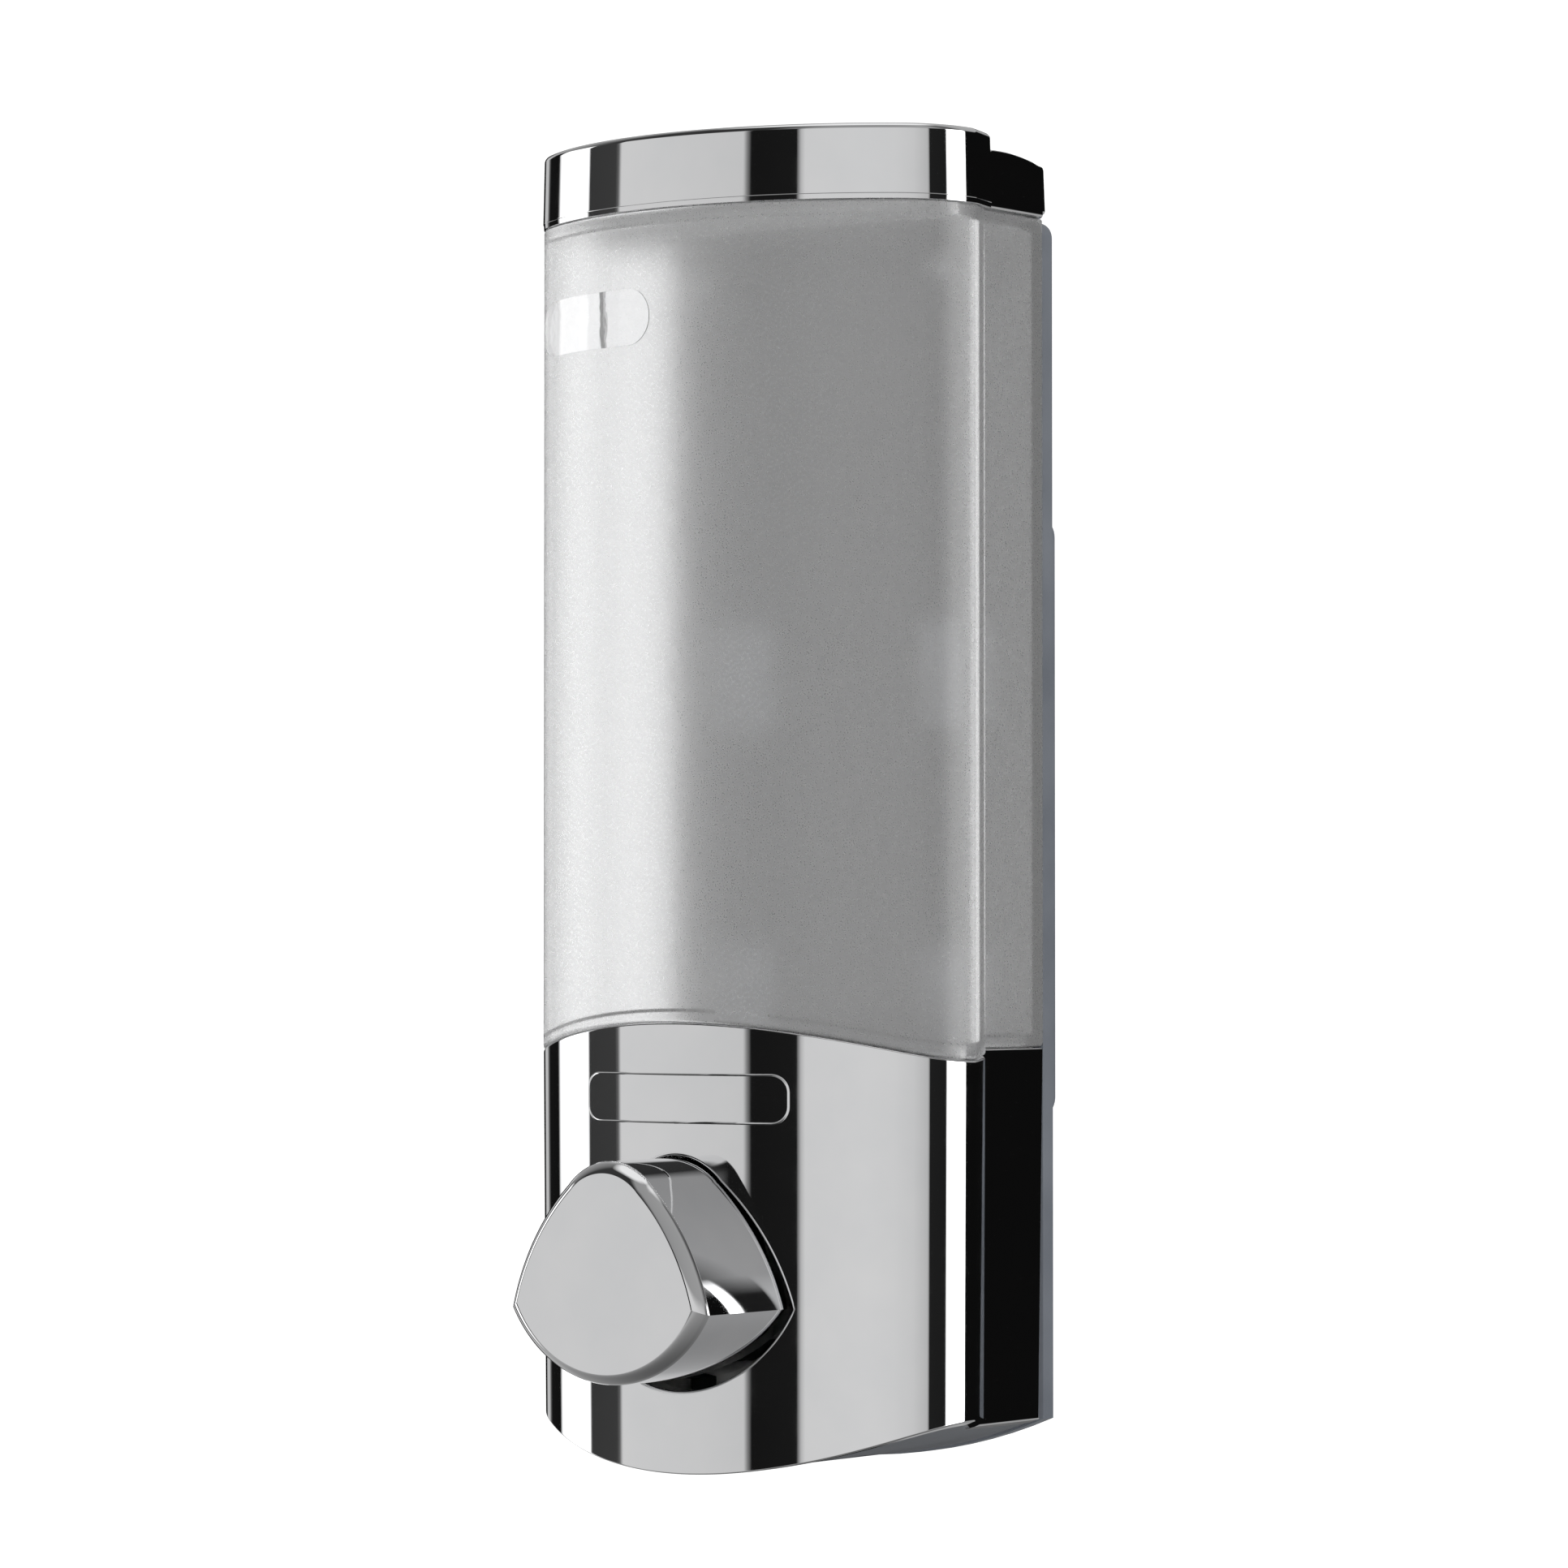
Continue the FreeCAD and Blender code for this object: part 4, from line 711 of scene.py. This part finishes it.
def make_front_cover():
    """The shell with its button's opening, the groove round the label recess, and two screw bosses."""
    edge, cut_rear, cut_front = 0.3, 40.0, 75.0
    groove_half, groove_out, groove_deep = 0.45, 0.105, 0.095
    profile = []
    for inset, up in curve(edge, edge, edge, -180, -90, 4):
        path = plan_path(inset)
        profile.append((path, smile(path, up)))
    for inset, up in curve(edge, -edge, edge, -90, 0, 4):
        path = plan_path(inset)
        profile.append((path, arch(path, up)))
    path = plan_path(WALL)
    profile += [(path, arch(path, 0.0)), (path, smile(path, 0.0))]
    cover = skin("cover_shell", [p for p, _ in profile], [h for _, h in profile], closed=False, loop=True)
    opening = button_ring(MARGIN + LIP + 0.01, FLARE, SAG)
    hole = skin("opening_cut", [opening] * 2, [cut_rear, cut_front], FORWARD)
    groove = divided(rounded_ring((0, ARCH_TOP - LABEL_DROP), LABEL_WIDE, LABEL_HIGH, LABEL_CORNER, 8), 1.5)
    section = ((groove_half, groove_out), (-groove_half, groove_out), (0.0, -groove_deep))
    points, faces = ring_of([on_front(groove + outward(groove) * across, out) for across, out in section])
    carve(cover, hole, build("groove_cut", points, faces))
    bosses = [tube("cover_boss", 1.55, 3.6, 16.0, (side * 38.35, PLATE_FRONT, AXIS_UP), FORWARD)
              for side in (-1, 1)]
    gather(cover, opening_lip(), *bosses)
    narrow(cover)
    shade(cover, CHROME)
    stand_for(cover, "front_cover", "dispenser")


def opening_lip():
    """The rounded edge of the opening, and the collar behind it that the button slides in."""
    collar_wall, collar_long, steps = 1.2, 5.0, 6
    inner = button_ring(MARGIN, FLARE, SAG)
    side = outward(inner)
    hub = np.stack([-side[:, 0], np.zeros(len(side)), -side[:, 1]], -1)
    facing = front_normal((inner + side * LIP)[:, 0])
    rows, normals = [], []

    def row(grow, depth):
        point = on_front(inner + side * grow)
        point[:, 1] += depth
        rows.append(point)

    for a in np.radians(np.linspace(0, 90, steps + 1)):
        row(LIP * (1 - math.sin(a)), LIP * (1 - math.cos(a)))
        normals.append(unit(facing * math.cos(a) + hub * math.sin(a)))
    row(0.0, collar_long)
    normals.append(hub)
    row(collar_wall, collar_long)
    row(collar_wall, LIP)
    points, faces = ring_of(rows)
    shades = []
    for i in range(len(rows)):
        for k in range(len(inner)):
            m = (k + 1) % len(inner)
            if i <= steps:
                shades += [normals[i][k], normals[i][m], normals[i + 1][m], normals[i + 1][k]]
            else:
                shades += [np.zeros(3)] * 4
    return build("opening_lip", points, faces, shades)


make_front_cover()


# ---- push button ----

def make_button():
    """A hollow shell with a rounded bezel round its face, and the boss that takes the rod."""
    face, rear, wall = BUTTON_FACE, BUTTON_REAR, 1.8
    bezel, slope, edge = 2.55, 2.0, 0.35
    steps = [(0.0, rear), (0.0, rear + 9.0), (0.0, face - slope - edge)]
    steps += [(0.04, face - slope - 0.5 * edge), (0.14, face - slope - 0.1 * edge)]
    for share in (0.10, 0.22, 0.36, 0.50, 0.63, 0.74, 0.83, 0.90, 0.95, 0.98, 1.0):
        steps.append((bezel * share, face - slope * (1 - share) ** 1.6))
    rings = [button_ring(-wall, bevel=bezel - wall), button_ring(-wall)]
    rings += [button_ring(bevel=bevel) for bevel, _ in steps]
    heights = [face - wall, rear] + [height for _, height in steps]
    button = skin("button_shell", rings, heights, FORWARD, limit=26.0)
    boss = tube("button_boss", 3.0, 5.5, 4.2, (0, -(face - wall - 4.0), AXIS_UP), FORWARD)
    gather(button, boss)
    shade(button, CHROME)
    stand_for(button, "push_button", "button")


make_button()

# ---- studio ----
# The studio that the bright parts reflect: (degrees from the front towards +X, brightness).
BANDS = [
    (-180, 0.004), (-122, 0.004), (-120.5, 0.50), (-110.5, 0.55), (-109.5, 0.008), (-99, 0.006),
    (-98, 1.6), (-78.5, 1.6), (-77.5, 0.040), (-62, 0.045), (-61, 0.66), (-38, 0.64), (-10.6, 0.60),
    (-9.4, 0.008), (7.4, 0.010), (8.8, 0.66), (30, 0.68), (60, 0.62), (77, 0.50), (78.4, 0.014),
    (99.5, 0.012), (100.5, 3.5), (125, 3.5), (126, 0.004), (180, 0.004),
]
# Higher up it is dark to the left, and grey to the right.
HIGH_BANDS = [
    (-180, 0.45), (-125, 0.40), (-70, 0.04), (-5, 0.03), (12, 0.30), (80, 0.36), (110, 0.06),
    (135, 0.40), (180, 0.45),
]


def make_world():
    """The bands, seen only in what reflects from the outside, and plain white for everything else."""
    world = bpy.data.worlds.new("studio")
    bpy.context.scene.world = world
    world.use_nodes = True
    world.cycles.sampling_method = "NONE"
    nodes, links = world.node_tree.nodes, world.node_tree.links
    nodes.clear()

    def step(*terms):
        return maths(nodes, links, *terms)

    def ramp(source, stops):
        node = nodes.new("ShaderNodeValToRGB")
        marks = node.color_ramp.elements
        while len(marks) < len(stops):
            marks.new(0.5)
        for mark, (place, _) in zip(marks, stops):
            mark.position = place
        # A mark that moves can change places with another, so the colours come afterwards.
        for mark, (_, value) in zip(marks, stops):
            mark.color = (value, value, value, 1)
        links.new(source, node.inputs["Fac"])
        return node.outputs["Color"]

    way = nodes.new("ShaderNodeSeparateXYZ")
    links.new(nodes.new("ShaderNodeTexCoord").outputs["Generated"], way.inputs[0])
    turn = step("ARCTAN2", way.outputs["X"], step("MULTIPLY", way.outputs["Y"], -1.0))
    turn = step("MULTIPLY_ADD", turn, 1 / (2 * math.pi), 0.5)
    bands = ramp(turn, [((angle + 180) / 360, value) for angle, value in BANDS])
    height = step("MULTIPLY_ADD", way.outputs["Z"], 0.5, 0.5)
    above = ramp(height, [(0.0, 1.0), (0.28, 1.0), (0.36, 0.0), (0.64, 0.0), (0.68, 1.0), (1.0, 1.0)])
    low = ramp(height, [(0.0, 0.10), (0.2, 0.28), (0.36, 0.55), (0.5, 0.55), (0.501, 0.0), (1.0, 0.0)])
    high = ramp(turn, [((angle + 180) / 360, value) for angle, value in HIGH_BANDS])
    crown = ramp(height, [(0.0, 0.0), (0.93, 0.0), (0.97, 0.9), (1.0, 0.9)])
    raised = step("MULTIPLY", high, step("GREATER_THAN", height, 0.5))
    soft = step("MAXIMUM", step("MAXIMUM", low, raised), crown)
    seen = nodes.new("ShaderNodeMix")
    seen.data_type = "RGBA"
    links.new(above, seen.inputs[0])
    links.new(bands, seen.inputs[6])
    links.new(soft, seen.inputs[7])
    ray = nodes.new("ShaderNodeLightPath")
    outside = step("LESS_THAN", ray.outputs["Transmission Depth"], 0.5)
    mirrored = step("MULTIPLY", ray.outputs["Is Glossy Ray"], outside)
    plain = nodes.new("ShaderNodeBackground")
    plain.inputs["Color"].default_value = (1, 1, 1, 1)
    plain.inputs["Strength"].default_value = 1.15
    shown = nodes.new("ShaderNodeBackground")
    links.new(seen.outputs[2], shown.inputs["Color"])
    pick = nodes.new("ShaderNodeMixShader")
    links.new(mirrored, pick.inputs[0])
    links.new(plain.outputs[0], pick.inputs[1])
    links.new(shown.outputs[0], pick.inputs[2])
    out = nodes.new("ShaderNodeOutputWorld")
    links.new(pick.outputs[0], out.inputs["Surface"])


make_world()


def make_floor():
    """A pale floor far below, which the mirrors don't show."""
    radius, low = 4000.0, -1100.0
    edge = [np.array((x, y, low)) for x, y in arc((0, 0), radius, 0, 360, 96)]
    floor = build("floor", edge, [list(range(len(edge)))])
    made, nodes, links, shader = material("pale_floor", Roughness=0.65)
    tint(nodes, links, noise(nodes, links, 6.0, 3.0), shader, (0.80, 0.80, 0.80), (0.84, 0.84, 0.84))
    floor.data.materials.append(made)
    floor.visible_glossy = False


make_floor()


def make_light(name, place, size, power):
    """A soft light that faces the object and isn't seen in its mirrors."""
    data = bpy.data.lights.new(name, "AREA")
    data.shape, data.size, data.energy = "DISK", size, power
    lamp = bpy.data.objects.new(name, data)
    lamp.location = place
    lamp.rotation_euler = (-Vector(place)).to_track_quat("-Z", "Y").to_euler()
    lamp.visible_glossy = False
    lamp.visible_transmission = False
    bpy.context.scene.collection.objects.link(lamp)


make_light("soft_above", (-0.5, -0.9, 1.3), 0.9, 6.0)


def make_camera():
    """The photo's view, from the right of the front and looking up a little."""
    rise, turn = math.radians(1.464), math.radians(35.94)
    data = bpy.data.cameras.new("camera")
    data.lens, data.sensor_width = 140.83, 36.0
    data.clip_start, data.clip_end = 0.05, 20.0
    camera = bpy.data.objects.new("camera", data)
    camera.location = (0.6587, -0.93495, -0.0226)
    camera.rotation_euler = (math.radians(90) + rise, 0, turn)
    bpy.context.scene.collection.objects.link(camera)
    bpy.context.scene.camera = camera


make_camera()
bpy.context.scene.view_settings.view_transform = "Standard"
